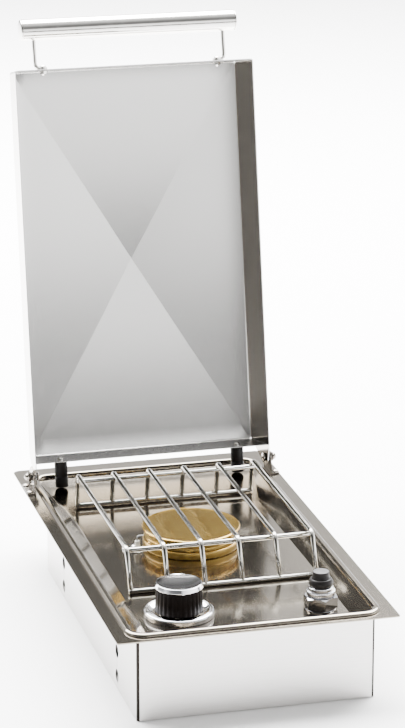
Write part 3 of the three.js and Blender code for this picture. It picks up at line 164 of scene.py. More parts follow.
@dataclass(frozen=True)
class Surface:
    """Node tree and shader of one material, with the patterns that the finishes share."""

    tree: Tree
    shader: Node

    def noise(self, size: Sequence[float], detail: float = 2.0, lean: float = 0.0) -> Socket:
        """Adds a noise whose grains have a real size.

        Args:
            size: length of a grain along X, Y and Z in millimetres.
            detail: octaves of the noise.
            lean: turn of the pattern about X in degrees.

        Returns:
            The noise value.
        """
        place = add_node(self.tree, "ShaderNodeTexCoord")
        turned = add_node(self.tree, "ShaderNodeMapping", {}, Vector=place.outputs["Object"],
                          Rotation=(math.radians(lean), 0.0, 0.0))
        scaled = add_node(self.tree, "ShaderNodeMapping", {}, Vector=turned.outputs["Vector"],
                          Scale=tuple(1 / (s * MM) for s in size))
        grains = add_node(self.tree, "ShaderNodeTexNoise", {}, Vector=scaled.outputs["Vector"],
                          Scale=1.0, Detail=detail, Roughness=0.55)
        return grains.outputs["Fac"]

    def blend(self, factor: Socket, low: str, high: str) -> Socket:
        """Blends two colours by the middle range of a pattern.

        Args:
            factor: the pattern.
            low: hex colour where the pattern is low.
            high: hex colour where it is high.

        Returns:
            The colour output.
        """
        ramp = add_node(self.tree, "ShaderNodeValToRGB", {}, Fac=factor)
        for element, place, colour in zip(ramp.color_ramp.elements, PATTERN_RANGE, (low, high)):
            element.position = place
            element.color = linear(colour)
        return ramp.outputs["Color"]

    def spread(self, factor: Socket, middle: float, share: float) -> Socket:
        """Maps the middle range of a pattern to values round a middle one.

        Args:
            factor: the pattern.
            middle: the middle value.
            share: how far the ends lie from it, as a share of it.

        Returns:
            The mapped output.
        """
        low, high = PATTERN_RANGE
        mapped = add_node(self.tree, "ShaderNodeMapRange", {}, Value=factor, From_Min=low,
                          From_Max=high, To_Min=middle * (1 - share), To_Max=middle * (1 + share))
        return mapped.outputs["Result"]

    def relief(self, height: Socket, depth: float, strength: float) -> Socket:
        """Returns the normal of a pattern that stands up by a depth in millimetres."""
        bump = add_node(self.tree, "ShaderNodeBump", {}, Height=height, Strength=strength,
                        Distance=depth * MM)
        return bump.outputs["Normal"]


@dataclass(frozen=True)
class Finish:
    """What every finish shares: a name, two colours and the shine of its surface."""

    name: str
    colour: str
    shade: str
    roughness: float
    metallic: float = 0.0
    slot: Slot = Slot.POLISHED

    def build(self) -> bpy.types.Material:
        """Makes the finish's material, or finds it after the first call.

        Returns:
            The material.
        """
        found = bpy.data.materials.get(self.name)
        if found:
            return found
        material = bpy.data.materials.new(self.name)
        material.use_nodes = True
        material.diffuse_color = linear(self.colour)
        shader = material.node_tree.nodes["Principled BSDF"]
        fill(shader, {"Metallic": self.metallic, "Roughness": self.roughness})
        self.dress(Surface(material.node_tree, shader))
        return material

    def dress(self, surface: Surface) -> None:
        """Adds the pattern nodes of the finish to a surface."""
        raise NotImplementedError


@dataclass(frozen=True)
class BrushedSteel(Finish):
    """Stainless sheet, belt brushed: fine parallel lines that smear highlights across them."""

    metallic: float = 1.0
    grain: Grain = Grain.ALONG_Y
    pitch: float = 1.1
    length: float = 40.0
    lean: float = 0.0
    depth: float = 0.004
    smear: float = 0.5
    patchy: float = 0.06
    bend_dark_reflection_colour: str = ""

    def dress(self, surface: Surface) -> None:
        """Draws the lines, about three times as coarse as real ones, so that they show.

        Args:
            surface: the material's surface.
        """
        size = [self.pitch + along * (self.length - self.pitch) for along in self.grain.value]
        lines = surface.noise(size, 3.0, self.lean)
        colour = surface.blend(lines, self.shade, self.colour)
        # Painted reflection: faces marked with the bend attribute take a dark colour that stands in
        # for the dark room mirrored in the bends
        if self.bend_dark_reflection_colour:
            bend = add_node(surface.tree, "ShaderNodeAttribute", {"attribute_name": "bend"})
            mixed = add_node(surface.tree, "ShaderNodeMix", {"data_type": "RGBA"},
                             _0=bend.outputs["Fac"], _6=colour, _7=linear(self.bend_dark_reflection_colour))
            colour = mixed.outputs[2]
        across = add_node(surface.tree, "ShaderNodeTangent",
                          {"direction_type": "UV_MAP", "uv_map": "grain"})
        fill(surface.shader, {
            "Base Color": colour,
            "Roughness": surface.spread(lines, self.roughness, self.patchy),
            "Anisotropic": self.smear,
            "Tangent": across.outputs["Tangent"],
            "Normal": surface.relief(lines, self.depth, 0.5),
        })


@dataclass(frozen=True)
class PolishedMetal(Finish):
    """Polished or plated metal: a mirror with faint wipe marks and a trace of waviness."""

    metallic: float = 1.0
    wipe: float = 14.0
    depth: float = 0.003

    def dress(self, surface: Surface) -> None:
        """Draws soft patches of tint and roughness, and a very low waviness.

        Args:
            surface: the material's surface.
        """
        patches = surface.noise((self.wipe, self.wipe, self.wipe * 0.6), 4.0)
        waves = surface.noise((1.2, 1.2, 1.2), 2.0)
        fill(surface.shader, {
            "Base Color": surface.blend(patches, self.shade, self.colour),
            "Roughness": surface.spread(patches, self.roughness, 0.3),
            "Normal": surface.relief(waves, self.depth, 0.3),
        })


@dataclass(frozen=True)
class TurnedMetal(Finish):
    """Metal faced on a lathe: fine rings about one axis that pull highlights into spokes."""

    metallic: float = 1.0
    axis: tuple[float, float] = (0.0, 0.0)
    pitch: float = 0.8
    depth: float = 0.004

    def dress(self, surface: Surface) -> None:
        """Draws the rings, about four times as coarse as the tool left them, so that they show.

        Args:
            surface: the material's surface.
        """
        tree = surface.tree
        place = add_node(tree, "ShaderNodeTexCoord")
        centred = add_node(tree, "ShaderNodeMapping", {}, Vector=place.outputs["Object"],
                           Location=(-self.axis[0] * MM, -self.axis[1] * MM, 0.0))
        flat = add_node(tree, "ShaderNodeVectorMath", {"operation": "MULTIPLY"},
                        _0=centred.outputs["Vector"], _1=(1.0, 1.0, 0.0))
        reach = add_node(tree, "ShaderNodeVectorMath", {"operation": "LENGTH"},
                         _0=flat.outputs["Vector"])
        step = add_node(tree, "ShaderNodeMath", {"operation": "MULTIPLY"},
                        _0=reach.outputs["Value"], _1=1 / (self.pitch * MM))
        rings = add_node(tree, "ShaderNodeTexNoise", {"noise_dimensions": "1D"},
                         W=step.outputs["Value"], Scale=1.0, Detail=2.0).outputs["Fac"]
        patches = surface.noise((11.0, 11.0, 5.0), 4.0)
        fill(surface.shader, {
            "Base Color": surface.blend(patches, self.shade, self.colour),
            "Roughness": surface.spread(rings, self.roughness, 0.2),
            "Normal": surface.relief(rings, self.depth, 0.35),
        })


@dataclass(frozen=True)
class MouldedPolymer(Finish):
    """Moulded plastic or rubber: an eroded mould leaves a fine grain and a soft sheen."""

    grit: float = 0.7
    depth: float = 0.03
    gloss: float = 0.5

    def dress(self, surface: Surface) -> None:
        """Draws the grit, twice as coarse as the mould's, so that it shows, and patches of dust.

        Args:
            surface: the material's surface.
        """
        grit = surface.noise((self.grit,) * 3, 2.0)
        dust = surface.noise((16.0, 16.0, 9.0), 4.0)
        fill(surface.shader, {
            "Base Color": surface.blend(dust, self.colour, self.shade),
            "Roughness": surface.spread(dust, self.roughness, 0.15),
            "Specular IOR Level": self.gloss,
            "Normal": surface.relief(grit, self.depth, 0.4),
        })


# Lid: stainless sheet with long upright belt lines, satin, light grey
LID_STEEL = BrushedSteel("brushed_stainless_lid", "d6d5d3", "cfcecc", 0.25, slot=Slot.LID,
                         grain=Grain.ALONG_Z, lean=10.66, pitch=1.1, length=13.0, depth=0.0012,
                         smear=0.7)
# Lid walls: the same sheet, smoother, painted darker and warmer as the shade and dark reflection on
# the side walls
SHADED_LID_WALL_STEEL = BrushedSteel("shade_painted_stainless_lid_wall", "a39b90", "968e84", 0.13,
                              slot=Slot.LID, grain=Grain.ALONG_Z, lean=10.66, pitch=1.1,
                              length=13.0, depth=0.001, smear=0.2)
# Plate and tray: bright annealed stainless, nearly a mirror, with a warm cast
TRAY_STEEL = BrushedSteel("pressed_stainless_tray", "8b8478", "827b70", 0.15, slot=Slot.PLATE,
                          grain=Grain.ALONG_Y, pitch=0.9, length=26.0, depth=0.002, smear=0.3)
# Box: satin stainless with level lines; its upright corner bends get a painted dark reflection
BOX_STEEL = BrushedSteel("satin_stainless_box", "dbd9d7", "d3d1cf", 0.36, slot=Slot.BOX,
                         grain=Grain.ALONG_X, pitch=0.8, length=30.0, depth=0.002,
                         bend_dark_reflection_colour="1f1c1a")
# Pan and mixer: dull mill finish, never seen up close
PAN_STEEL = PolishedMetal("mill_stainless_pan", "b9b8b6", "a9a8a6", 0.45, slot=Slot.BOX)
# Grate: electropolished rod, bright where it faces the light and grey along its length
WIRE_STEEL = PolishedMetal("electropolished_wire", "b9b7b1", "aaa8a2", 0.16, wipe=20.0)
# Handle, bolts and hinges: buffed stainless
BRIGHT_STEEL = PolishedMetal("polished_stainless", "e4e2de", "d8d6d1", 0.13)
# Hinge brackets, pins and nuts: plated steel, greyer and a little dulled
HINGE_STEEL = PolishedMetal("plated_hinge_steel", "928c84", "817b73", 0.2, wipe=6.0)
# Knob ring and cap, igniter nut: decorative chrome, a cold clean mirror
CHROME = PolishedMetal("bright_chrome_plate", "e3e3e6", "d9d9dc", 0.05, slot=Slot.CHROME, wipe=9.0,
                       depth=0.0015)
# Burner cap: lathe faced brass, satin and pale gold
CAP_BRASS = TurnedMetal("turned_brass_cap", "e2bd62", "d6ae54", 0.2, slot=Slot.BRASS,
                        axis=BURNER_AXIS)
# Burner head: machined brass, a little darker than the cap
HEAD_BRASS = TurnedMetal("turned_brass_head", "bda05e", "ab8d4e", 0.27, slot=Slot.BRASS,
                         axis=BURNER_AXIS)
# Valve and fittings: machined brass bar
FITTING_BRASS = PolishedMetal("machined_brass", "b98f4d", "a67d3f", 0.28, slot=Slot.BRASS, wipe=8.0)
# Springs and electrode: drawn wire
SPRING_STEEL = PolishedMetal("drawn_spring_wire", "9a9a9a", "858585", 0.3, slot=Slot.SPRING)
# Knob skirt: moulded phenolic, satin black with a brown cast
KNOB_PLASTIC = MouldedPolymer("moulded_black_phenolic", "0d0908", "120d0c", 0.5, slot=Slot.PLASTIC,
                              gloss=0.05)
# Bumpers, boot and button: moulded rubber, dull black with a brown cast
RUBBER = MouldedPolymer("moulded_black_rubber", "090605", "0d0908", 0.5, slot=Slot.RUBBER,
                        gloss=0.2)
# Button top: the same rubber, painted grey as the sheen that the light above gives it
TOP_LIT_RUBBER = MouldedPolymer("top_lit_black_rubber", "3a3838", "2c2a2a", 0.55, slot=Slot.RUBBER,
                             gloss=0.5)
# Ignition lead: silicone sleeve
LEAD_SLEEVE = MouldedPolymer("silicone_lead_sleeve", "252527", "303032", 0.5, slot=Slot.LEAD)
# Electrode insulator: glazed alumina
CERAMIC = MouldedPolymer("glazed_white_ceramic", "e9e6dd", "ddd8cc", 0.25, slot=Slot.CERAMIC,
                         depth=0.005)


def object_from(name: str, bm: Mesh) -> Piece:
    """Makes a scene object of a bmesh.

    Args:
        name: name of the object.
        bm: its mesh, freed here.

    Returns:
        The object.
    """
    mesh = bpy.data.meshes.new(name)
    bm.to_mesh(mesh)
    bm.free()
    made = bpy.data.objects.new(name, mesh)
    bpy.context.scene.collection.objects.link(made)
    return made


def shaped(piece: Piece, operation: str, tools: Sequence[Piece]) -> None:
    """Cuts or trims a piece with solids and removes them.

    Args:
        piece: the piece.
        operation: DIFFERENCE or INTERSECT.
        tools: the solids.
    """
    for tool in tools:
        modifier = piece.modifiers.new(tool.name, "BOOLEAN")
        modifier.object = tool
        modifier.operation = operation
        modifier.solver = "EXACT"
    if tools:
        bpy.context.view_layer.update()
        graph = bpy.context.evaluated_depsgraph_get()
        made = bpy.data.meshes.new_from_object(piece.evaluated_get(graph))
        piece.modifiers.clear()
        piece.data = made
        for tool in tools:
            bpy.data.objects.remove(tool)


def lay_grain(piece: Piece, grain: Vector) -> None:
    """Gives a piece a UV map whose V runs along the brushed lines, in metres.

    Args:
        piece: the piece.
        grain: direction of the lines.
    """
    end_on, spare = 0.05, Vector((0.31, 0.95, 0.0))
    bm = bmesh.new()
    bm.from_mesh(piece.data)
    layer = bm.loops.layers.uv.new("grain")
    for face in bm.faces:
        across = face.normal.cross(grain)
        if across.length < end_on:
            across = face.normal.cross(spare)
        across.normalize()
        lengthwise = across.cross(face.normal)
        for loop in face.loops:
            loop[layer].uv = (loop.vert.co.dot(across), loop.vert.co.dot(lengthwise))
    bm.to_mesh(piece.data)
    bm.free()


def completed(piece: Piece, finish: Finish, body: Body, nodes: Iterable[str],
              crease: float) -> Piece:
    """Shades a piece, ties it to its body and hides the CAD nodes that it stands for.

    Args:
        piece: the piece.
        finish: its finish.
        body: the body it rides on.
        nodes: CAD nodes that it stands for.
        crease: angle in degrees past which an edge stays sharp.

    Returns:
        The piece.
    """
    if isinstance(finish, BrushedSteel):
        lean = Matrix.Rotation(-math.radians(finish.lean), 3, "X")
        lay_grain(piece, (lean @ Vector(finish.grain.value)).normalized())
    piece.data.polygons.foreach_set("use_smooth", [True] * len(piece.data.polygons))
    piece.data.set_sharp_from_angle(angle=math.radians(crease))
    piece.data.materials.clear()
    piece.data.materials.append(finish.build())
    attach(piece, body.value)
    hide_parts(*nodes)
    LOG.info("%s: %d faces", piece.name, len(piece.data.polygons))
    return piece


def finished(bm: Mesh, name: str, finish: Finish, body: Body, nodes: Iterable[str],
             crease: float = PLAIN, cutters: Sequence[Piece] = (),
             trimmers: Sequence[Piece] = ()) -> Piece:
    """Turns a bmesh in metres into a shaded piece that stands for CAD nodes.

    Args:
        bm: the mesh, freed here.
        name: name of the piece.
        finish: its finish.
        body: the body it rides on.
        nodes: CAD nodes that it stands for.
        crease: angle in degrees past which an edge stays sharp.
        cutters: solids to take away, removed here.
        trimmers: solids that the piece has to stay inside, removed here.

    Returns:
        The new object.
    """
    bmesh.ops.remove_doubles(bm, verts=bm.verts, dist=WELD)
    bmesh.ops.recalc_face_normals(bm, faces=bm.faces)
    piece = object_from(name, bm)
    shaped(piece, "INTERSECT", trimmers)
    shaped(piece, "DIFFERENCE", cutters)
    return completed(piece, finish, body, nodes, crease)


def refined(node: str, finish: Finish, body: Body, edge: float = 0.0,
            crease: float = PLAIN) -> Piece:
    """Makes a smooth copy of a CAD node, with its sharp edges eased as a deburred edge is.

    Args:
        node: name of the node.
        finish: its finish.
        body: the body it rides on.
        edge: width of the eased edges in millimetres.
        crease: angle in degrees past which an edge stays sharp.

    Returns:
        The copy.
    """
    flat, sharp = math.radians(0.5), math.radians(50)
    bm = bmesh.new()
    bm.from_mesh(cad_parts[node].data)
    bmesh.ops.remove_doubles(bm, verts=bm.verts, dist=WELD)
    bmesh.ops.dissolve_limit(bm, angle_limit=flat, verts=bm.verts, edges=bm.edges)
    piece = completed(object_from(f"{node}_finished", bm), finish, body, [node], crease)
    if edge > 0:
        eased = piece.modifiers.new("eased_edges", "BEVEL")
        eased.width = edge * MM
        eased.segments = 2
        eased.limit_method = "ANGLE"
        eased.angle_limit = sharp
        eased.harden_normals = True
    return piece


def smooth_weights(piece: Piece) -> None:
    """Keeps wide faces flat beside narrow bends.

    Args:
        piece: the piece.
    """
    weights = piece.modifiers.new("weights", "WEIGHTED_NORMAL")
    weights.keep_sharp = True
    weights.weight = 100


def paint_bend_reflections(piece: Piece, marked: Callable[[bpy.types.MeshPolygon], bool]) -> None:
    """Gives the marked faces of a piece the attribute where the finish paints a dark reflection."""
    layer = piece.data.attributes.new("bend", "FLOAT", "FACE")
    layer.data.foreach_set("value", [1.0 if marked(face) else 0.0 for face in piece.data.polygons])


def cutter(name: str, bm: Mesh) -> Piece:
    """Returns a temporary solid for cutting, which finished() removes."""
    bmesh.ops.recalc_face_normals(bm, faces=bm.faces)
    return object_from(name, bm)


def drill(name: str, spot: Vector, radius: float, half: float, segments: int = 40) -> Piece:
    """Makes an upright round cutter.

    Args:
        name: name of the cutter.
        spot: its middle, in metres.
        radius: millimetres.
        half: half its height in millimetres.
        segments: sides of the round.

    Returns:
        The cutter.
    """
    bm = bmesh.new()
    bmesh.ops.create_cone(bm, cap_ends=True, segments=segments, radius1=radius * MM,
                          radius2=radius * MM, depth=2 * half * MM, matrix=Matrix.Translation(spot))
    return cutter(name, bm)


def spun(profile: Profile, centre: Vector, axis: Vector = UP, steps: int = 72) -> Mesh:
    """Spins a profile about an axis into a closed solid.

    Args:
        profile: radius and height pairs in millimetres, from axis to axis or a closed ring.
        centre: spot on the axis where the height is zero, in metres.
        axis: direction of the axis.
        steps: sides of the round.

    Returns:
        The solid.
    """
    bm = bmesh.new()
    turn = UP.rotation_difference(axis.normalized()).to_matrix()
    points = [bm.verts.new(centre + turn @ Vector((r * MM, 0, h * MM))) for r, h in profile]
    pairs = list(zip(points, points[1:]))
    if profile[0][0] > 0:
        pairs.append((points[-1], points[0]))
    edges = [bm.edges.new(pair) for pair in pairs]
    bmesh.ops.spin(bm, geom=points + edges, cent=centre, axis=turn @ UP, angle=2 * math.pi,
                   steps=steps, use_merge=True, use_duplicate=False)
    bmesh.ops.remove_doubles(bm, verts=bm.verts, dist=TOUCH)
    bmesh.ops.recalc_face_normals(bm, faces=bm.faces)
    return bm


def arc(centre: tuple[float, float], radius: float, start: float, end: float,
        steps: int = 6) -> list[tuple[float, float]]:
    """Returns points of a spun profile, in steps on an arc from one angle in degrees to another."""
    turns = [math.radians(start + (end - start) * i / steps) for i in range(steps + 1)]
    return [(centre[0] + radius * math.cos(t), centre[1] + radius * math.sin(t)) for t in turns]


def fluted(centre: Vector, radius: float, height: float, count: int, depth: float,
           top_radius: float, edge: float, points: int = 8) -> Mesh:
    """Raises a fluted round from a circle whose corners are pulled in to a wave.

    Args:
        centre: middle of the foot in metres.
        radius: millimetres over the ridges at the foot.
        height: millimetres.
        count: number of flutes.
        depth: depth of a flute in millimetres.
        top_radius: millimetres over the ridges at the top.
        edge: width of the eased rims in millimetres.
        points: corners of each flute.

    Returns:
        The closed solid.
    """
    bm = bmesh.new()
    made = bmesh.ops.create_circle(bm, cap_ends=True, segments=count * points, radius=radius * MM)
    for vert in made["verts"]:
        turn = math.atan2(vert.co.y, vert.co.x)
        vert.co *= 1 - depth / radius * (1 - abs(math.cos(count * turn / 2)))
    foot = bm.faces[:]
    raised = bmesh.ops.extrude_face_region(bm, geom=foot, use_keep_orig=True)["geom"]
    top = [g for g in raised if isinstance(g, Corner)]
    share = top_radius / radius
    bmesh.ops.scale(bm, vec=(share, share, 1), verts=top)
    bmesh.ops.translate(bm, vec=(0, 0, height * MM), verts=top)
    level = 1e-7
    rims = [e for e in bm.edges if abs(e.verts[0].co.z - e.verts[1].co.z) < level]
    bmesh.ops.bevel(bm, geom=rims, offset=edge * MM, segments=2, affect="EDGES", profile=0.5,
                    material=-1, clamp_overlap=True)
    bmesh.ops.translate(bm, vec=centre, verts=bm.verts)
    bmesh.ops.recalc_face_normals(bm, faces=bm.faces)
    return bm


def hexagon(centre: Vector, axis: Vector, radius: float, height: float) -> Mesh:
    """Raises a hexagonal prism.

    Args:
        centre: middle of its foot in metres.
        axis: direction in which it rises.
        radius: millimetres over the corners.
        height: millimetres.

    Returns:
        The prism.
    """
    bm = bmesh.new()
    bmesh.ops.create_circle(bm, cap_ends=True, segments=6, radius=radius * MM)
    raised = bmesh.ops.extrude_face_region(bm, geom=bm.faces[:], use_keep_orig=True)["geom"]
    top = [g for g in raised if isinstance(g, Corner)]
    bmesh.ops.translate(bm, vec=(0, 0, height * MM), verts=top)
    lean = UP.rotation_difference(axis.normalized()).to_matrix()
    bmesh.ops.rotate(bm, cent=(0, 0, 0), matrix=lean, verts=bm.verts)
    bmesh.ops.translate(bm, vec=centre, verts=bm.verts)
    bmesh.ops.recalc_face_normals(bm, faces=bm.faces)
    return bm


class Wire:
    """A round wire that grows from a start along straight runs and bends."""

    TIP = 0.7
    TAPER = 0.3
    SIDES = 20

    def __init__(self, bm: Mesh, start: Vector, along: Vector, radius: float) -> None:
        """Starts the wire with a closed round end.

        Args:
            bm: mesh that the wire goes into.
            start: first spot in metres.
            along: direction of the first run.
            radius: millimetres.
        """
        self.bm = bm
        self.spot = start.copy()
        self.along = along.normalized()
        turn = UP.rotation_difference(self.along).to_matrix().to_4x4()
        made = bmesh.ops.create_circle(bm, cap_ends=True, segments=self.SIDES,
                                       radius=radius * MM * self.TIP,
                                       matrix=Matrix.Translation(start) @ turn)
        self.ring = list({e for v in made["verts"] for e in v.link_edges})
        self.grow(self.along * radius * MM * self.TAPER)
        self.swell(1 / self.TIP)

    def swell(self, share: float) -> None:
        """Scales the open ring about the wire's middle by a share."""
        verts = list({v for e in self.ring for v in e.verts})
        bmesh.ops.scale(self.bm, vec=(share,) * 3, space=Matrix.Translation(-self.spot),
                        verts=verts)

    def open_ring(self) -> list[Corner]:
        """Extrudes the open ring in place.

        Returns:
            The ring's new corners.
        """
        made = bmesh.ops.extrude_edge_only(self.bm, edges=self.ring)["geom"]
        verts = [g for g in made if isinstance(g, Corner)]
        kept = set(verts)
        self.ring = [g for g in made if isinstance(g, bmesh.types.BMEdge) and set(g.verts) <= kept]
        return verts

    def grow(self, step: Vector) -> None:
        """Extrudes the open ring by a step in metres."""
        bmesh.ops.translate(self.bm, vec=step, verts=self.open_ring())
        self.spot += step

    def bend(self, towards: Vector, radius: float, steps: int = 8) -> None:
        """Bends to a new direction.

        Args:
            towards: direction after the bend.
            radius: bend radius of the wire's middle in millimetres.
            steps: chords of the bend.
        """
        towards = towards.normalized()
        axis = self.along.cross(towards)
        angle = self.along.angle(towards)
        inward = (towards - self.along * towards.dot(self.along)).normalized()
        centre = self.spot + inward * radius * MM
        turn = Matrix.Rotation(angle / steps, 3, axis)
        for _ in range(steps):
            bmesh.ops.rotate(self.bm, cent=centre, matrix=turn, verts=self.open_ring())
            self.spot = centre + turn @ (self.spot - centre)
        self.along = towards

    def close(self, radius: float) -> None:
        """Rounds and closes the open end.

        Args:
            radius: radius of the wire in millimetres.
        """
        self.grow(self.along * radius * MM * self.TAPER)
        self.swell(self.TIP)
        bmesh.ops.edgeloop_fill(self.bm, edges=self.ring)


def bent_wire(bm: Mesh, corners: Sequence[Vector], radius: float, bend: float = 0.0) -> None:
    """Runs one wire through corners, rounding each one.

    Args:
        bm: mesh that the wire goes into.
        corners: spots in metres.
        radius: radius of the wire in millimetres.
        bend: bend radius in millimetres.
    """
    legs = [b - a for a, b in zip(corners, corners[1:])]
    end = Wire.TAPER * radius * MM
    setbacks = [end, *(bend * MM * math.tan(a.angle(b) / 2) for a, b in zip(legs, legs[1:])), end]
    wire = Wire(bm, corners[0], legs[0], radius)
    for i, leg in enumerate(legs):
        wire.grow(wire.along * (leg.length - setbacks[i] - setbacks[i + 1]))
        if i + 1 < len(legs):
            wire.bend(legs[i + 1], bend)
    wire.close(radius)


@dataclass
class TopPlate:
    """Pressed plate with a rolled bead and a tray that slopes down to the burner floor."""

    half_width: float = 156.0
    front: float = -280.0
    back: float = 280.0
    front_radius: float = 3.0
    back_radius: float = 9.0
    bead_half_width: float = 141.5
    bead_front: float = -271.0
    bead_back: float = 254.0
    bead_radius: float = 22.0
    bead_width: float = 9.5
    bead_height: float = 4.0
    bead_drop: float = 1.0
    floor_half_width: float = 112.0
    floor_front: float = -245.0
    floor_back: float = 134.5
    floor_depth: float = 11.0
    floor_radius: float = 3.0
    sheet: float = 1.2
    corner_steps: int = 14
    bead_steps: int = 16
    bead_fullness: float = 0.8
    land: float = 0.2
    fold: float = 1.6
    floor_holes: tuple[tuple[float, float, float], ...] = (
        (*BURNER_AXIS, 12.3), (-66.5, -190.0, 6.4), (-82.7, -184.8, 2.3), (-50.3, -195.2, 2.3),
        (87.6, -209.0, 11.3), (-66.0, 6.0, 3.1), (-66.0, 19.0, 2.3))
    rim_holes: tuple[tuple[float, float, float], ...] = (
        (-151.1, 196.5, 2.3), (-151.1, 220.5, 2.3), (151.1, 196.5, 2.3), (151.1, 220.5, 2.3))

    def corner(self, spot: Vector, half: float, front: float, back: float,
               radius: float) -> tuple[Vector, Vector]:
        """Finds the middle of the round corner nearest to a spot.

        Args:
            spot: spot in metres.
            half: half width of the outline in millimetres.
            front: its front edge.
            back: its back edge.
            radius: its corner radius.

        Returns:
            The corner's middle, and the direction from it to the spot.
        """
        x = math.copysign(half - radius, spot.x)
        y = front + radius if spot.y / MM < (front + back) / 2 else back - radius
        middle = Vector((x * MM, y * MM, spot.z))
        return middle, (spot - middle).normalized()

    def flange(self, spot: Vector) -> Vector:
        """Moves a spot of the bead's outline out to the flange's edge.

        Args:
            spot: spot in metres.

        Returns:
            The moved spot.
        """
        _, way = self.corner(spot, self.bead_half_width, self.bead_front, self.bead_back,
                             self.bead_radius)
        radius = self.front_radius if spot.y < 0 else self.back_radius
        middle, _ = self.corner(spot, self.half_width, self.front, self.back, radius)
        return middle + way * radius * MM

    def floor(self, spot: Vector) -> Vector:
        """Moves a spot of the bead's inner outline down to the tray floor's edge.

        Args:
            spot: spot in metres.

        Returns:
            The moved spot.
        """
        inner = self.bead_radius - self.bead_width
        _, way = self.corner(spot, self.bead_half_width - self.bead_width,
                             self.bead_front + self.bead_width,
                             self.bead_back - self.bead_width, inner)
        middle, _ = self.corner(spot, self.floor_half_width, self.floor_front, self.floor_back,
                                self.floor_radius)
        placed = middle + way * self.floor_radius * MM
        placed.z = at(0, 0, -self.floor_depth).z
        return placed

    def holes(self) -> list[Piece]:
        """Makes drills for the burner throat, valve stem, igniter, electrode and screws.

        Returns:
            The cutters, first those of the tray's floor, then those of the rim.
        """
        half = 5
        floor = [drill(f"hole_{i}", at(x, y, -self.floor_depth), radius, half)
                 for i, (x, y, radius) in enumerate(self.floor_holes)]
        rim = [drill(f"rim_hole_{i}", at(x, y, 0), radius, half, 16)
               for i, (x, y, radius) in enumerate(self.rim_holes)]
        return floor + rim

    def build(self) -> None:
        """Presses the plate out of one outline with insets and extrusions."""
        bm = bmesh.new()
        bmesh.ops.create_grid(bm, x_segments=1, y_segments=1, size=1.0)
        middle = (self.bead_front + self.bead_back) / 2
        half_length = (self.bead_back - self.bead_front) / 2
        bmesh.ops.scale(bm, vec=(self.bead_half_width * MM, half_length * MM, 1), verts=bm.verts)
        bmesh.ops.translate(bm, vec=at(0, middle, 0), verts=bm.verts)
        bmesh.ops.bevel(bm, geom=bm.verts[:], offset=self.bead_radius * MM,
                        segments=self.corner_steps, affect="VERTICES", profile=0.5, material=-1)
        rim = [e for e in bm.edges if e.is_boundary]
        top = bm.faces[:]
        made = bmesh.ops.extrude_edge_only(bm, edges=rim)["geom"]
        for vert in [g for g in made if isinstance(g, Corner)]:
            vert.co = self.flange(vert.co)
        share = [i / self.bead_steps for i in range(self.bead_steps + 1)]
        across = [self.bead_width * (1 - math.cos(math.pi * s)) / 2 for s in share]
        height = [self.bead_height * math.sin(math.pi * s) ** self.bead_fullness
                  - self.bead_drop * s for s in share]
        for i in range(self.bead_steps):
            bmesh.ops.inset_region(bm, faces=top, thickness=(across[i + 1] - across[i]) * MM,
                                   depth=(height[i + 1] - height[i]) * MM, use_even_offset=True)
        bmesh.ops.inset_region(bm, faces=top, thickness=self.land * MM, depth=0.0,
                               use_even_offset=True)
        for vert in {v for f in top for v in f.verts}:
            vert.co = self.floor(vert.co)
        fold = list({e for f in top for e in f.edges})
        bmesh.ops.bevel(bm, geom=fold, offset=self.fold * MM, segments=3, affect="EDGES",
                        profile=0.5, material=-1, clamp_overlap=True)
        bmesh.ops.recalc_face_normals(bm, faces=bm.faces)
        bmesh.ops.solidify(bm, geom=bm.faces[:], thickness=self.sheet * MM)
        smooth_weights(finished(bm, "top_plate_pressing", TRAY_STEEL, Body.HOUSING, ["top_plate"],
                                PRESSED, self.holes()))


@dataclass
class Box:
    """Folded steel box under the plate."""

    panels: tuple[str, ...] = ("front_panel", "back_panel", "left_side_panel", "right_side_panel")
    upright: float = 0.2
    turned: float = 0.15

    def in_corner(self, face: bpy.types.MeshPolygon) -> bool:
        """Says whether a face lies in the middle of an upright corner bend."""
        across, along, up = (abs(share) for share in face.normal)
        return up <= self.upright and min(across, along) > self.turned

    def build(self) -> None:
        """Dresses the four walls and the pan."""
        for node in self.panels:
            # The upright corner bends get a painted dark reflection.
            paint_bend_reflections(refined(node, BOX_STEEL, Body.HOUSING, 0.0, FOLDED), self.in_corner)
        refined("bottom_pan", PAN_STEEL, Body.HOUSING)


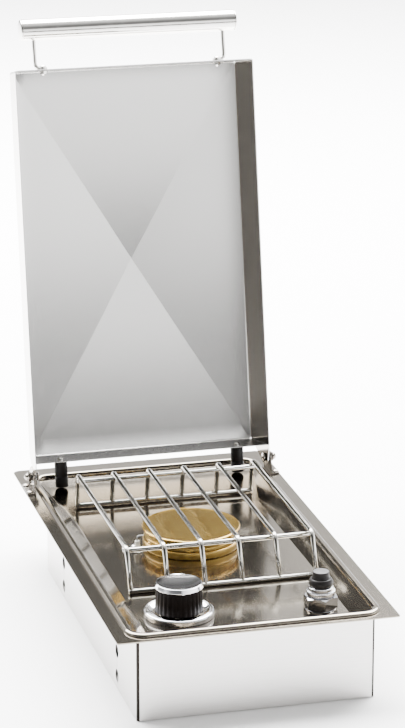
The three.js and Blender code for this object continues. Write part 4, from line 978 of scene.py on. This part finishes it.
@dataclass
class Lid:
    """Hinged lid with a tube handle on two bent rods and two rubber bumpers."""

    pivot_y: float = 208.5
    pivot_z: float = 17.0
    lean: float = 10.66
    handle_reach: float = 528.0
    handle_lift: float = 11.0
    handle_half: float = 128.6
    handle_radius: float = 12.6
    tube_wall: float = 1.2
    tube_edge: float = 0.4
    bumper_x: float = 109.0
    bumper_lift: float = 8.0
    bumper_reach: float = 15.5
    bumper_length: float = 32.5
    bumper_radius: float = 7.8
    bumper_neck: float = 0.35
    bumper_bore: float = 2.3
    panel_half: float = 136.25
    panel_start: float = 18.3
    panel_end: float = 476.1
    cad_crown: float = 3.0
    crown: float = 7.0
    bow: float = 0.35
    cuts_across: int = 8
    cuts_along: int = 24

    def place(self, x: float, reach: float, lift: float) -> Vector:
        """Gives a spot on the open lid.

        Args:
            x: millimetres to the right.
            reach: millimetres from the pivot towards the handle.
            lift: millimetres towards the lid's outer panel.

        Returns:
            The spot in the CAD frame.
        """
        lean = math.radians(self.lean)
        return at(x, self.pivot_y + reach * math.sin(lean) + lift * math.cos(lean),
                  self.pivot_z + reach * math.cos(lean) - lift * math.sin(lean))

    def spread_of(self, spot: Vector) -> tuple[float, float]:
        """Measures how far a spot of the panel lies from its middle.

        Args:
            spot: spot in metres.

        Returns:
            Shares of the way to the side edges and to the end edges.
        """
        lean = math.radians(self.lean)
        reach = ((spot.y / MM - self.pivot_y) * math.sin(lean)
                 + (spot.z / MM - PLATE_HEIGHT - self.pivot_z) * math.cos(lean))
        middle = (self.panel_start + self.panel_end) / 2
        return abs(spot.x / MM) / self.panel_half, abs(reach - middle) / (self.panel_end - middle)

    def panel(self, bm: Mesh) -> list[bmesh.types.BMFace]:
        """Lists the faces of the panel's two skins.

        Args:
            bm: mesh of the lid's shell.

        Returns:
            The faces that lie flat in the panel.
        """
        flat, inside = 0.995, 0.999
        outward = (self.place(0, 0, 1) - self.place(0, 0, 0)).normalized()
        return [f for f in bm.faces if abs(f.normal.dot(outward)) > flat
                and max(self.spread_of(f.calc_center_median())) < inside]

    def shell(self) -> None:
        """Cross breaks the panel: four facets rise outwards to its middle, a little bowed."""
        outward = (self.place(0, 0, 1) - self.place(0, 0, 0)).normalized()
        along = (self.place(0, 1, 0) - self.place(0, 0, 0)).normalized()
        bm = bmesh.new()
        bm.from_mesh(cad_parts["lid_shell"].data)
        bmesh.ops.remove_doubles(bm, verts=bm.verts, dist=WELD)
        bmesh.ops.dissolve_limit(bm, angle_limit=math.radians(0.3), verts=bm.verts, edges=bm.edges)
        planes = [(Vector((self.panel_half * MM * i / self.cuts_across, 0, 0)), RIGHT)
                  for i in range(1 - self.cuts_across, self.cuts_across)]
        step = (self.panel_end - self.panel_start) / self.cuts_along
        planes += [(self.place(0, self.panel_start + step * i, 0), along)
                   for i in range(1, self.cuts_along)]
        for spot, normal in planes:
            faces = self.panel(bm)
            bmesh.ops.bisect_plane(bm, geom=faces + list({e for f in faces for e in f.edges})
                                   + list({v for f in faces for v in f.verts}),
                                   plane_co=spot, plane_no=normal, dist=TOUCH)
        for vert in {v for f in self.panel(bm) for v in f.verts}:
            rise = 1 - max(self.spread_of(vert.co))
            if rise > 0:
                bowed = rise * (1 - self.bow) + rise * rise * self.bow
                vert.co += outward * (self.crown * bowed - self.cad_crown * rise) * MM
        piece = completed(object_from("cross_broken_lid", bm), LID_STEEL, Body.LID, ["lid_shell"],
                          BROKEN)
        # Painted shade: the side walls take a darker, warmer copy of the sheet, standing in for their
        # dark reflection
        piece.data.materials.append(SHADED_LID_WALL_STEEL.build())
        for face in piece.data.polygons:
            face.material_index = int(abs(face.normal.x) > 0.8)
        same, inside = 0.004, 0.99
        for edge in piece.data.edges:
            shares = [self.spread_of(piece.data.vertices[i].co) for i in edge.vertices]
            if all(abs(a - b) < same and a < inside for a, b in shares):
                edge.use_edge_sharp = True
        smooth_weights(piece)

    def handle(self) -> None:
        """Makes the tube and its pressed end caps."""
        radius, half = self.handle_radius, self.handle_half
        centre = self.place(0, self.handle_reach, self.handle_lift)
        bore, edge = radius - self.tube_wall, self.tube_edge
        tube = spun([(bore, -half), (radius - edge, -half), (radius, edge - half),
                     (radius, half - edge), (radius - edge, half), (bore, half)], centre, RIGHT, 96)
        finished(tube, "polished_handle_tube", BRIGHT_STEEL, Body.LID, ["handle_tube"])
        for side, name in SIDES:
            cap = spun([(0, half - 8), (bore - 0.3, half - 8), (bore - 0.3, half + 0.3),
                        (radius - 0.2, half + 0.3), *arc((radius - 1.6, half + 0.8), 1.4, 0, 75, 5),
                        (bore - 3, half + 2.5), (0, half + 2.7)], centre, side * RIGHT)
            finished(cap, f"{name}_handle_end_cap", BRIGHT_STEEL, Body.LID, [f"{name}_handle_cap"])
            for node, eased in (("handle_rod", 0.0), ("handle_bolt", 0.15), ("handle_nut", 0.15)):
                refined(f"{name}_{node}", BRIGHT_STEEL, Body.LID, eased, SMALL)

    def bumpers(self) -> None:
        """Spins the rubber bumpers, each with a neck at mid length, and dresses their screws."""
        length, radius, bore = self.bumper_length, self.bumper_radius, self.bumper_bore
        neck = radius - self.bumper_neck
        down = self.place(0, -1, 0) - self.place(0, 0, 0)
        for side, name in SIDES:
            top = self.place(side * self.bumper_x, self.bumper_reach, self.bumper_lift)
            body = spun([(bore, 0.2), (radius - 0.9, 0.2),
                         *arc((radius - 0.9, 1.1), 0.9, -90, 0, 4),
                         (radius, length * 0.58), (neck, length * 0.6), (neck, length * 0.63),
                         (radius, length * 0.65), (radius, length - 1.6),
                         *arc((radius - 1.4, length - 1.6), 1.4, 0, 90, 5)[1:],
                         (bore, length - 0.2)], top, down, 56)
            finished(body, f"{name}_rubber_bumper", RUBBER, Body.LID, [f"{name}_bumper"])
            refined(f"{name}_bumper_screw", BRIGHT_STEEL, Body.LID, 0.15, SMALL)

    def build(self) -> None:
        """Dresses the shell and makes the handle and bumpers."""
        self.shell()
        self.handle()
        self.bumpers()


@dataclass
class Hinges:
    """Brackets beside the lid's ears, with their bolts, domed nuts and screws."""

    pin_y: float = 208.5
    pin_z: float = 17.0
    nut_face: float = 147.4
    nut_radius: float = 5.6
    hex_height: float = 4.2
    dome_radius: float = 4.4

    def nut(self, side: int, name: str) -> None:
        """Makes a domed nut: a chamfered hexagon with a polished dome.

        Args:
            side: minus one for the left, one for the right.
            name: name of the side.
        """
        out = side * RIGHT
        foot = at(side * self.nut_face, self.pin_y, self.pin_z)
        inner, outer, height = self.nut_radius - 0.7, self.nut_radius + 0.1, self.hex_height
        barrel = spun([(0, -1.0), (inner, -1.0), (inner, 0.0), (outer, 0.5), (outer, height - 0.7),
                       (self.dome_radius + 0.2, height), (0, height)], foot, out, 36)
        prism = hexagon(foot, out, self.nut_radius, height)
        finished(prism, f"{name}_hinge_hexagon", HINGE_STEEL, Body.HOUSING, [f"{name}_hinge_nut"],
                 TURNED, trimmers=[cutter("barrel", barrel)])
        sunk = height - 0.4
        dome = spun([(0, sunk), (self.dome_radius, sunk),
                     *arc((0, sunk), self.dome_radius, 0, 90, 9)[1:-1],
                     (0, sunk + self.dome_radius)], foot, out, 36)
        finished(dome, f"{name}_hinge_dome", HINGE_STEEL, Body.HOUSING, [f"{name}_hinge_nut"])

    def build(self) -> None:
        """Makes the nuts and dresses the brackets, bolts and screws."""
        for side, name in SIDES:
            self.nut(side, name)
            for node, eased, crease in (("hinge_bracket", 0.3, FOLDED), ("hinge_bolt", 0.2, SMALL),
                                        ("bracket_front_screw", 0.15, SMALL),
                                        ("bracket_back_screw", 0.15, SMALL)):
                refined(f"{name}_{node}", HINGE_STEEL, Body.HOUSING, eased, crease)


@dataclass
class Grate:
    """Welded grate of six bent wires over four cross bars."""

    middle: float = 3.5
    pitch: float = 42.55
    count: int = 6
    radius: float = 2.65
    top: float = 37.0
    front_bend: float = -98.0
    back_bend: float = 152.0
    front_foot: float = -119.0
    back_foot: float = 158.0
    bend: float = 9.0
    bar_inset: float = 8.0
    weld: float = 0.25
    bead: tuple[float, float, float] = (1.25, 1.25, 0.42)
    foot_height: float = -8.25
    back_foot_height: float = -5.67

    def wires(self, bm: Mesh) -> list[float]:
        """Bends the long wires.

        Args:
            bm: mesh that they go into.

        Returns:
            Their places along X in millimetres.
        """
        wire_top = self.top - self.radius
        places = [self.middle + (i - (self.count - 1) / 2) * self.pitch for i in range(self.count)]
        side = [(self.front_foot, self.foot_height), (self.front_bend, wire_top),
                (self.back_bend, wire_top), (self.back_foot, self.back_foot_height)]
        for x in places:
            bent_wire(bm, [at(x, y, z) for y, z in side], self.radius, self.bend)
        return places

    def build(self) -> None:
        """Makes wires, bars and the small weld beads where they meet."""
        bm = bmesh.new()
        places = self.wires(bm)
        bar_height = self.top - 3 * self.radius + self.weld
        half = (self.count - 1) * self.pitch / 2 + self.radius
        bars = [(self.front_foot, self.foot_height),
                (self.front_bend + self.bar_inset, bar_height),
                (self.back_bend - self.bar_inset, bar_height),
                (self.back_foot, self.back_foot_height)]
        for y, z in bars:
            bent_wire(bm, [at(self.middle - half, y, z), at(self.middle + half, y, z)], self.radius)
        for y, z in bars[1:3]:
            for x in places:
                bead = bmesh.ops.create_uvsphere(bm, u_segments=12, v_segments=8,
                                                 radius=self.radius * MM)["verts"]
                bmesh.ops.scale(bm, vec=self.bead, verts=bead)
                bmesh.ops.translate(bm, vec=at(x, y, z + self.radius - 0.1), verts=bead)
        finished(bm, "welded_wire_grate", WIRE_STEEL, Body.GRATE, ["cooking_grate"], SMALL)


@dataclass
class Burner:
    """Brass burner head with its ring of slots and the loose cap over them."""

    x: float = BURNER_AXIS[0]
    y: float = BURNER_AXIS[1]
    base: float = -10.7
    head_radius: float = 55.5
    upper_radius: float = 54.0
    tier_top: float = -2.2
    shoulder: float = 3.0
    port_radius: float = 51.5
    port_bottom: float = 5.4
    port_top: float = 9.7
    port_width: float = 2.0
    port_pairs: int = 18
    wall: float = 4.0
    cap_radius: float = 56.3
    cap_seat: float = 10.0
    cap_thickness: float = 2.0
    lug_x: float = 5.0
    lug: tuple[float, float, float] = (7.0, 6.0, 1.4)
    lug_round: float = 1.6

    def slots(self) -> list[Piece]:
        """Makes bars that cut two facing ports each.

        Returns:
            The cutters.
        """
        made = []
        top = self.port_top + 2
        size = Vector((2.1 * self.head_radius, self.port_width, top - self.port_bottom)) * MM
        for i in range(self.port_pairs):
            bm = bmesh.new()
            bmesh.ops.create_cube(bm, size=1.0)
            bmesh.ops.scale(bm, vec=size, verts=bm.verts)
            turn = Matrix.Rotation(math.pi * (i + 0.5) / self.port_pairs, 3, "Z")
            bmesh.ops.rotate(bm, cent=(0, 0, 0), matrix=turn, verts=bm.verts)
            bmesh.ops.translate(bm, vec=at(self.x, self.y, (top + self.port_bottom) / 2),
                                verts=bm.verts)
            made.append(cutter(f"port_{i}", bm))
        return made

    def head(self) -> None:
        """Spins the two rounded tiers and cuts the ports."""
        inner = self.port_radius - self.wall
        low, high = self.head_radius, self.upper_radius
        profile = [(9.5, self.base - 13), (12.0, self.base - 13), (12.0, self.base),
                   (low - 1.2, self.base), *arc((low - 1.2, self.base + 1.2), 1.2, -90, 0, 4)[1:],
                   *arc((low - 2.0, self.tier_top - 2.0), 2.0, 0, 80, 6),
                   (high - 0.9, self.tier_top - 0.2), (high - 0.9, self.tier_top + 0.3),
                   (high, self.tier_top + 1.2),
                   *arc((high - 1.8, self.shoulder - 1.8), 1.8, 0, 82, 6),
                   (self.port_radius + 0.4, self.shoulder + 0.6),
                   (self.port_radius, self.shoulder + 1.2), (self.port_radius, self.port_top),
                   (inner, self.port_top), (inner, self.base + 4), (9.5, self.base + 4)]
        finished(spun(profile, at(self.x, self.y, 0), steps=128), "turned_burner_head", HEAD_BRASS,
                 Body.HOUSING, ["burner_head"], TURNED, self.slots())

    def cap(self) -> None:
        """Spins the cap with a raised rolled rim, and adds its lifting lug."""
        inner = self.port_radius - self.wall - 0.3
        top = self.cap_seat + self.cap_thickness
        rim = self.cap_radius
        profile = [(0, self.cap_seat), (inner - 3, self.cap_seat), (inner - 3, self.cap_seat - 3),
                   (inner, self.cap_seat - 3), (inner, self.cap_seat), (rim - 0.7, self.cap_seat),
                   *arc((rim - 0.7, self.cap_seat + 0.7), 0.7, -90, 0, 3)[1:],
                   *arc((rim - 1.2, top - 0.9), 1.2, 0, 110, 7), (rim - 3.4, top - 0.25),
                   (rim - 4.2, top - 0.35), (0, top - 0.35)]
        bm = spun(profile, at(self.x, self.y, 0), steps=128)
        lug = bmesh.new()
        bmesh.ops.create_cube(lug, size=1.0)
        bmesh.ops.scale(lug, vec=Vector(self.lug) * MM, verts=lug.verts)
        corners = [e for e in lug.edges if abs(e.verts[0].co.z - e.verts[1].co.z) > 1e-4]
        bmesh.ops.bevel(lug, geom=corners, offset=self.lug_round * MM, segments=4, affect="EDGES",
                        profile=0.5, material=-1)
        spot = at(self.x + self.lug_x, self.y + rim, self.cap_seat + 1.1)
        bmesh.ops.translate(lug, vec=spot, verts=lug.verts)
        held = bpy.data.meshes.new("lug")
        lug.to_mesh(held)
        lug.free()
        bm.from_mesh(held)
        bpy.data.meshes.remove(held)
        smooth_weights(finished(bm, "turned_burner_cap", CAP_BRASS, Body.CAP, ["burner_cap"],
                                TURNED))

    def build(self) -> None:
        """Makes head and cap and dresses what hangs below them."""
        self.head()
        self.cap()
        for node, finish, edge, crease in (
                ("burner_locknut", PAN_STEEL, 0.4, PLAIN),
                ("electrode_ceramic", CERAMIC, 0.3, PLAIN),
                ("spark_electrode", SPRING_STEEL, 0.0, COILED),
                ("electrode_clamp", BRIGHT_STEEL, 0.2, PLAIN),
                ("electrode_clamp_screw", BRIGHT_STEEL, 0.15, SMALL)):
            refined(node, finish, Body.HOUSING, edge, crease)


@dataclass
class Knob:
    """Fluted knob with a dished chrome cap in its chrome ring."""

    x: float = -66.5
    y: float = -190.0
    flutes: int = 28
    flute_depth: float = 0.6
    foot: float = -5.0
    foot_radius: float = 26.5
    shoulder: float = 21.5
    top_radius: float = 25.0
    hollow_radius: float = 21.0
    cap_radius: float = 26.7
    cap_top_radius: float = 24.4
    cap_height: float = 5.0
    dish: Profile = ((0.8, 1.0), (0.6, 1.65), (0.35, 2.2), (0.15, 2.45), (0, 2.5))
    pointer_width: float = 11.0
    pointer_reach: float = 1.6
    pointer_rise: float = 1.6
    pointer_height: float = 3.0
    pointer_taper: tuple[float, float] = (0.62, 0.34)
    ring: Profile = ((28.5, -10.7), (38.0, -10.7), (38.4, -10.3), (38.4, -6.4),
                     *arc((36.2, -6.2), 2.2, 0, 90, 8), (34.8, -4.15),
                     *arc((33.6, -6.2), 2.1, 62, 118, 4), (30.0, -6.5), (28.5, -6.9))

    def bezel(self) -> None:
        """Spins the dished ring that the knob stands in."""
        ring = spun(self.ring, at(self.x, self.y, 0), steps=128)
        finished(ring, "chrome_knob_ring", CHROME, Body.HOUSING, ["knob_bezel"], FOLDED)

    def skirt(self) -> None:
        """Raises the fluted skirt and hollows it from below."""
        bm = fluted(at(self.x, self.y, self.foot), self.foot_radius, self.shoulder - self.foot,
                    self.flutes, self.flute_depth, self.top_radius, 0.5)
        hollow = drill("hollow", at(self.x, self.y, self.foot + 8), self.hollow_radius, 11, 64)
        finished(bm, "fluted_knob_skirt", KNOB_PLASTIC, Body.KNOB, ["knob_skirt"], SMALL, [hollow])

    def cap(self) -> None:
        """Spins the cap, dished on top, with a wedge pointer at the front of its rim."""
        base = self.shoulder + 0.3
        top = base + self.cap_height
        centre = at(self.x, self.y, 0)
        foot, rim = self.cap_radius - 0.8, self.cap_top_radius
        bm = spun([(0, base), (foot, base), *arc((foot, base + 0.8), 0.8, -90, 20, 5),
                   (rim + 0.5, top - 0.6), *arc((rim - 0.1, top - 0.75), 0.75, 45, 110, 4),
                   (rim - 1.4, top - 0.3),
                   *((rim * share, top - depth) for share, depth in self.dish)], centre, steps=128)
        wide, narrow = (self.pointer_width * share * MM for share in self.pointer_taper)
        wedge = bmesh.ops.create_cone(bm, cap_ends=True, segments=3, radius1=wide, radius2=narrow,
                                      depth=self.pointer_height * MM)["verts"]
        forward = Matrix.Rotation(math.radians(-90), 3, "Z")
        bmesh.ops.rotate(bm, cent=(0, 0, 0), matrix=forward, verts=wedge)
        low = min(v.co.y for v in wedge)
        reach = -(self.cap_radius + self.pointer_reach) * MM - low
        lift = (base + self.pointer_rise) * MM
        bmesh.ops.translate(bm, vec=centre + Vector((0, reach, lift)), verts=wedge)
        finished(bm, "dished_chrome_knob_cap", CHROME, Body.KNOB, ["knob_cap"], FOLDED)

    def build(self) -> None:
        """Makes ring, skirt and cap."""
        self.bezel()
        self.skirt()
        self.cap()


@dataclass
class Igniter:
    """Push button igniter: washer, hexagon nut, knurled collar, rubber boot and button."""

    x: float = 87.6
    y: float = -209.0
    bore: float = 11.3
    nut_foot: float = -9.6
    nut_radius: float = 19.2
    nut_height: float = 13.4
    collar_foot: float = 4.1
    collar_radius: float = 15.6
    collar_height: float = 6.2
    teeth: int = 40
    tooth_depth: float = 0.9
    painted_top_from: float = 31.0
    washer: Profile = ((bore, -10.7), (17.2, -10.7), (17.6, -10.4), (17.4, -10.0), (17.0, -9.9),
                       (bore, -9.9))
    barrel: Profile = ((0, -10.0), (18.0, -10.0), (17.8, -9.6), (19.4, -8.6), (19.4, 2.2),
                       (17.2, 3.8), (0, 3.8))
    ring: Profile = ((12.0, 10.2), (13.9, 10.2), (13.9, 13.4), *arc((13.0, 13.6), 0.9, 0, 90, 4),
                     (12.0, 14.5))
    boot: Profile = ((10.5, 14.8), (12.0, 14.8), (12.9, 16.0), (13.4, 17.6), (13.5, 18.8),
                     (13.3, 20.2), (12.6, 21.8), (11.9, 23.0), (11.0, 23.7), (10.5, 23.7))
    button: Profile = ((0, 2.7), (4.0, 2.7), (4.0, 18.6), (9.9, 18.6), (9.9, 24.6), (9.7, 25.3),
                       (9.0, 27.2), (8.9, 28.0), (9.0, 30.6), *arc((8.2, 30.7), 0.8, 0, 70, 4),
                       (0, 31.45))

    def stack(self) -> None:
        """Makes the chrome washer, nut and collar, from the plate up."""
        centre = at(self.x, self.y, 0)
        finished(spun(self.washer, centre), "igniter_plate_washer", CHROME, Body.HOUSING,
                 ["igniter_washer"])
        nut = hexagon(at(self.x, self.y, self.nut_foot), UP, self.nut_radius, self.nut_height)
        finished(nut, "igniter_hexagon_nut", CHROME, Body.HOUSING, ["igniter_nut"], TURNED,
                 [drill("nut_bore", at(self.x, self.y, -3), self.bore, 12, 64)],
                 [cutter("barrel", spun(self.barrel, centre, steps=96))])
        knurl = fluted(at(self.x, self.y, self.collar_foot), self.collar_radius, self.collar_height,
                       self.teeth, self.tooth_depth, self.collar_radius, 0.4, 4)
        finished(knurl, "igniter_knurled_collar", CHROME, Body.HOUSING, ["igniter_collar"], TURNED,
                 [drill("collar_bore", at(self.x, self.y, 7), self.bore, 9, 64)])
        finished(spun(self.ring, centre), "igniter_collar_ring", CHROME, Body.HOUSING,
                 ["igniter_collar"])

    def push(self) -> None:
        """Spins the bulged boot and the stepped button, whose top is painted grey as a highlight."""
        centre = at(self.x, self.y, 0)
        boot = spun(self.boot, centre, steps=64)
        finished(boot, "igniter_bulged_boot", RUBBER, Body.HOUSING, ["igniter_boot"], SMALL)
        button = spun(self.button, centre, steps=64)
        piece = finished(button, "igniter_push_button", RUBBER, Body.BUTTON, ["igniter_button"],
                         SMALL)
        # Painted highlight: the button's upward top faces take a lighter grey rubber, standing in for
        # the sheen of the light above
        piece.data.materials.append(TOP_LIT_RUBBER.build())
        for face in piece.data.polygons:
            if face.normal.z > 0.9 and face.center.z > at(0, 0, self.painted_top_from).z:
                face.material_index = 1

    def build(self) -> None:
        """Makes the stack and the button."""
        self.stack()
        self.push()
        refined("igniter_body", KNOB_PLASTIC, Body.HOUSING, 0.3)


def dress(node: str, finish: Finish) -> None:
    """Gives a CAD node that stays its material.

    Args:
        node: name of the node.
        finish: its finish.
    """
    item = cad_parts[node]
    item.data.materials.clear()
    item.data.materials.append(finish.build())
    LOG.info("%s: %s", node, finish.name)


@dataclass
class GasTrain:
    """Valve, fittings, mixer and ignition parts under the plate."""

    knob_travel: float = 3.0
    button_travel: float = 3.0

    def spring(self, node: str) -> None:
        """Makes a smooth copy of a spring, with a mesh of its own.

        Args:
            node: the spring's CAD node.
        """
        piece = refined(node, SPRING_STEEL, Body.HOUSING, 0.0, COILED)
        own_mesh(piece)

    def build(self) -> None:
        """Gives the CAD nodes under the plate their finishes."""
        named = {
            FITTING_BRASS: ["valve_body", "valve_plug", "gas_orifice", "gas_inlet_fitting"],
            SPRING_STEEL: ["valve_stem", "igniter_battery"],
            BRIGHT_STEEL: ["left_valve_screw", "right_valve_screw"],
            PAN_STEEL: ["mixer_tube", "air_shutter"],
            LEAD_SLEEVE: ["ignition_lead"],
        }
        for finish, nodes in named.items():
            for node in nodes:
                dress(node, finish)
        self.spring("valve_spring")
        self.spring("igniter_spring")


@dataclass
class Camera:
    """Camera solved from the photograph's own perspective."""

    yaw: float = 15.04
    rise: float = 17.24
    roll: float = 0.20
    distance: float = 3563.89
    across: float = -33.92
    up: float = -217.81
    focal_pixels: float = 3119.84
    middle: tuple[float, float] = (224.33, 348.46)
    clip: tuple[float, float] = (0.1, 60.0)

    def build(self) -> None:
        """Makes the camera and puts it in the scene."""
        yaw, rise, roll = (math.radians(a) for a in (self.yaw, self.rise, self.roll))
        away = Vector((-math.sin(yaw) * math.cos(rise), -math.cos(yaw) * math.cos(rise),
                       math.sin(rise)))
        level = (-away).cross(UP).normalized()
        above = level.cross(-away)
        right = math.cos(roll) * level + math.sin(roll) * above
        top = -math.sin(roll) * level + math.cos(roll) * above
        spot = away * self.distance - right * self.across - top * self.up
        data = bpy.data.cameras.new("photograph")
        data.sensor_width = BLENDER_SENSOR
        data.lens = self.focal_pixels * BLENDER_SENSOR / max(PICTURE)
        data.shift_x = (PICTURE[0] / 2 - self.middle[0]) / max(PICTURE)
        data.shift_y = (self.middle[1] - PICTURE[1] / 2) / max(PICTURE)
        data.clip_start, data.clip_end = self.clip
        camera = bpy.data.objects.new("photograph", data)
        axes = Matrix((right, top, away)).transposed().to_4x4()
        camera.matrix_world = Matrix.Translation(at(*spot)) @ axes
        bpy.context.scene.collection.objects.link(camera)
        bpy.context.scene.camera = camera


@dataclass
class Studio:
    """Pale floor and a soft room whose brightness changes with direction, as round a lit table."""

    floor_half: float = 9.0
    floor_drop: float = 0.0005
    card_place: float = -2.6
    card_height: float = 0.55
    card_middle: float = 0.28
    card_thickness: float = 0.01
    lamp_spot: tuple[float, float, float] = (0.2, 1.65, 2.4)
    lamp_aim: tuple[float, float, float] = (0.1, 0.9, 0.0)
    lamp_size: tuple[float, float] = (4.6, 2.8)
    lamp_power: float = 1500.0
    front_steps: Profile = ((-1.0, 3.6), (0.0, 3.6), (0.2, 3.6), (0.28, 2.0), (0.38, 0.4),
                            (0.55, 0.25), (0.7, 0.4), (0.8, 0.8), (0.9, 1.5), (1.0, 2.5))
    back_steps: Profile = ((-1.0, 1.2), (0.0, 1.2), (0.35, 1.5), (0.5, 1.4), (0.7, 1.4), (1.0, 2.0))
    turn_steps: Profile = ((-180, 1.0), (-120, 0.7), (-80, 0.5), (-55, 0.12), (-4, 0.1), (5, 0.8),
                           (12, 1.0), (34, 1.2), (60, 1.6), (100, 1.6), (140, 1.1), (180, 1.0))
    overhead: tuple[float, float] = (0.72, 0.86)
    rear: tuple[float, float] = (0.25, -0.15)

    def lamp(self) -> None:
        """Adds the soft light panel that hangs behind the object and faces the floor under it."""
        data = bpy.data.lights.new("back_panel_light", "AREA")
        data.shape = "RECTANGLE"
        data.size, data.size_y = self.lamp_size
        data.energy = self.lamp_power
        light = bpy.data.objects.new("back_panel_light", data)
        light.location = self.lamp_spot
        way = Vector(self.lamp_aim) - Vector(self.lamp_spot)
        light.rotation_euler = way.to_track_quat("-Z", "Y").to_euler()
        bpy.context.scene.collection.objects.link(light)

    def steps(self, tree: Tree, value: Socket, stops: Profile) -> Socket:
        """Turns a value into brightness by a table.

        Args:
            tree: the room's node tree.
            value: the value.
            stops: pairs of value and brightness, from the lowest value to the highest.

        Returns:
            The brightness.
        """
        low, high = stops[0][0], stops[-1][0]
        spread = add_node(tree, "ShaderNodeMapRange", {}, Value=value, From_Min=low, From_Max=high)
        ramp = add_node(tree, "ShaderNodeValToRGB", {}, Fac=spread.outputs["Result"])
        points = ramp.color_ramp.elements
        for place, _ in stops[1:-1]:
            points.new((place - low) / (high - low))
        for point, (place, light) in zip(points, stops):
            point.position = (place - low) / (high - low)
            point.color = (light, light, light, 1.0)
        return ramp.outputs["Color"]

    def mix(self, tree: Tree, way: str, share: object, low: Socket, high: object) -> Socket:
        """Returns two brightnesses mixed by a share, the way MIX or MULTIPLY."""
        return add_node(tree, "ShaderNodeMix", {"data_type": "RGBA", "blend_type": way},
                        _0=share, _6=low, _7=high).outputs[2]

    def between(self, tree: Tree, value: Socket, ends: tuple[float, float]) -> Socket:
        """Returns how far a value lies between two ends, with a soft start and stop."""
        return add_node(tree, "ShaderNodeMapRange", {"interpolation_type": "SMOOTHSTEP"},
                        Value=value, From_Min=ends[0], From_Max=ends[1]).outputs["Result"]

    def room(self) -> None:
        """Makes the room that the metal mirrors."""
        world = bpy.data.worlds.new("studio")
        bpy.context.scene.world = world
        world.use_nodes = True
        tree = world.node_tree
        place = add_node(tree, "ShaderNodeTexCoord")
        split = add_node(tree, "ShaderNodeSeparateXYZ", {}, Vector=place.outputs["Generated"])
        height = split.outputs["Z"]
        ahead = add_node(tree, "ShaderNodeMath", {"operation": "MULTIPLY"}, _0=split.outputs["Y"],
                         _1=-1.0).outputs["Value"]
        turn = add_node(tree, "ShaderNodeMath", {"operation": "ARCTAN2"}, _0=split.outputs["X"],
                        _1=ahead)
        around = self.steps(tree, turn.outputs["Value"],
                            [(math.radians(angle), light) for angle, light in self.turn_steps])
        above = self.between(tree, height, self.overhead)
        around = self.mix(tree, "MIX", above, around, (1.0, 1.0, 1.0, 1.0))
        front, back = (self.mix(tree, "MULTIPLY", 1.0, self.steps(tree, height, table), around)
                       for table in (self.front_steps, self.back_steps))
        behind = self.between(tree, ahead, self.rear)
        fill(tree.nodes["Background"],
             {"Color": self.mix(tree, "MIX", behind, front, back), "Strength": 1.0})

    def paper(self, name: str, bm: Mesh, finish: str, colour: str, gloss: float) -> None:
        """Finishes a piece of the stage, which isn't part of the object.

        Args:
            name: name of the piece.
            bm: its mesh, freed here.
            finish: name of its material.
            colour: hex colour.
            gloss: strength of its sheen.
        """
        sheet = object_from(name, bm)
        material = bpy.data.materials.new(finish)
        material.use_nodes = True
        fill(material.node_tree.nodes["Principled BSDF"],
             {"Base Color": linear(colour), "Roughness": 0.9, "Specular IOR Level": gloss})
        sheet.data.materials.append(material)

    def floor(self) -> None:
        """Lays the plain floor under the part."""
        bm = bmesh.new()
        bmesh.ops.create_grid(bm, x_segments=1, y_segments=1, size=self.floor_half)
        bmesh.ops.translate(bm, vec=(0, 0, -self.floor_drop), verts=bm.verts)
        self.paper("studio_floor", bm, "pale_paper_floor", "f9f9f9", 0.2)

    def card(self) -> None:
        """Stands a low dark card in front, below the camera's view, for dark lines in the metal."""
        bm = bmesh.new()
        bmesh.ops.create_cube(bm, size=1.0)
        size = (2 * self.floor_half, self.card_thickness, self.card_height)
        bmesh.ops.scale(bm, vec=size, verts=bm.verts)
        bmesh.ops.translate(bm, vec=(0.0, self.card_place, self.card_middle), verts=bm.verts)
        self.paper("dark_card", bm, "grey_felt_card", "343434", 0.1)

    def build(self) -> None:
        """Makes the room, the floor, the dark card and the light panel behind the object."""
        self.room()
        self.floor()
        self.card()
        self.lamp()


def main() -> None:
    """Builds the camera, studio and every sub-assembly in order."""
    logging.basicConfig(level=logging.INFO, format="%(name)s %(message)s")
    Camera().build()
    Studio().build()
    for assembly in (TopPlate(), Box(), Lid(), Hinges(), Burner(), Grate(), Knob(), Igniter(),
                     GasTrain()):
        assembly.build()
        LOG.info("%s is dressed", type(assembly).__name__)


if __name__ == "__main__":
    main()
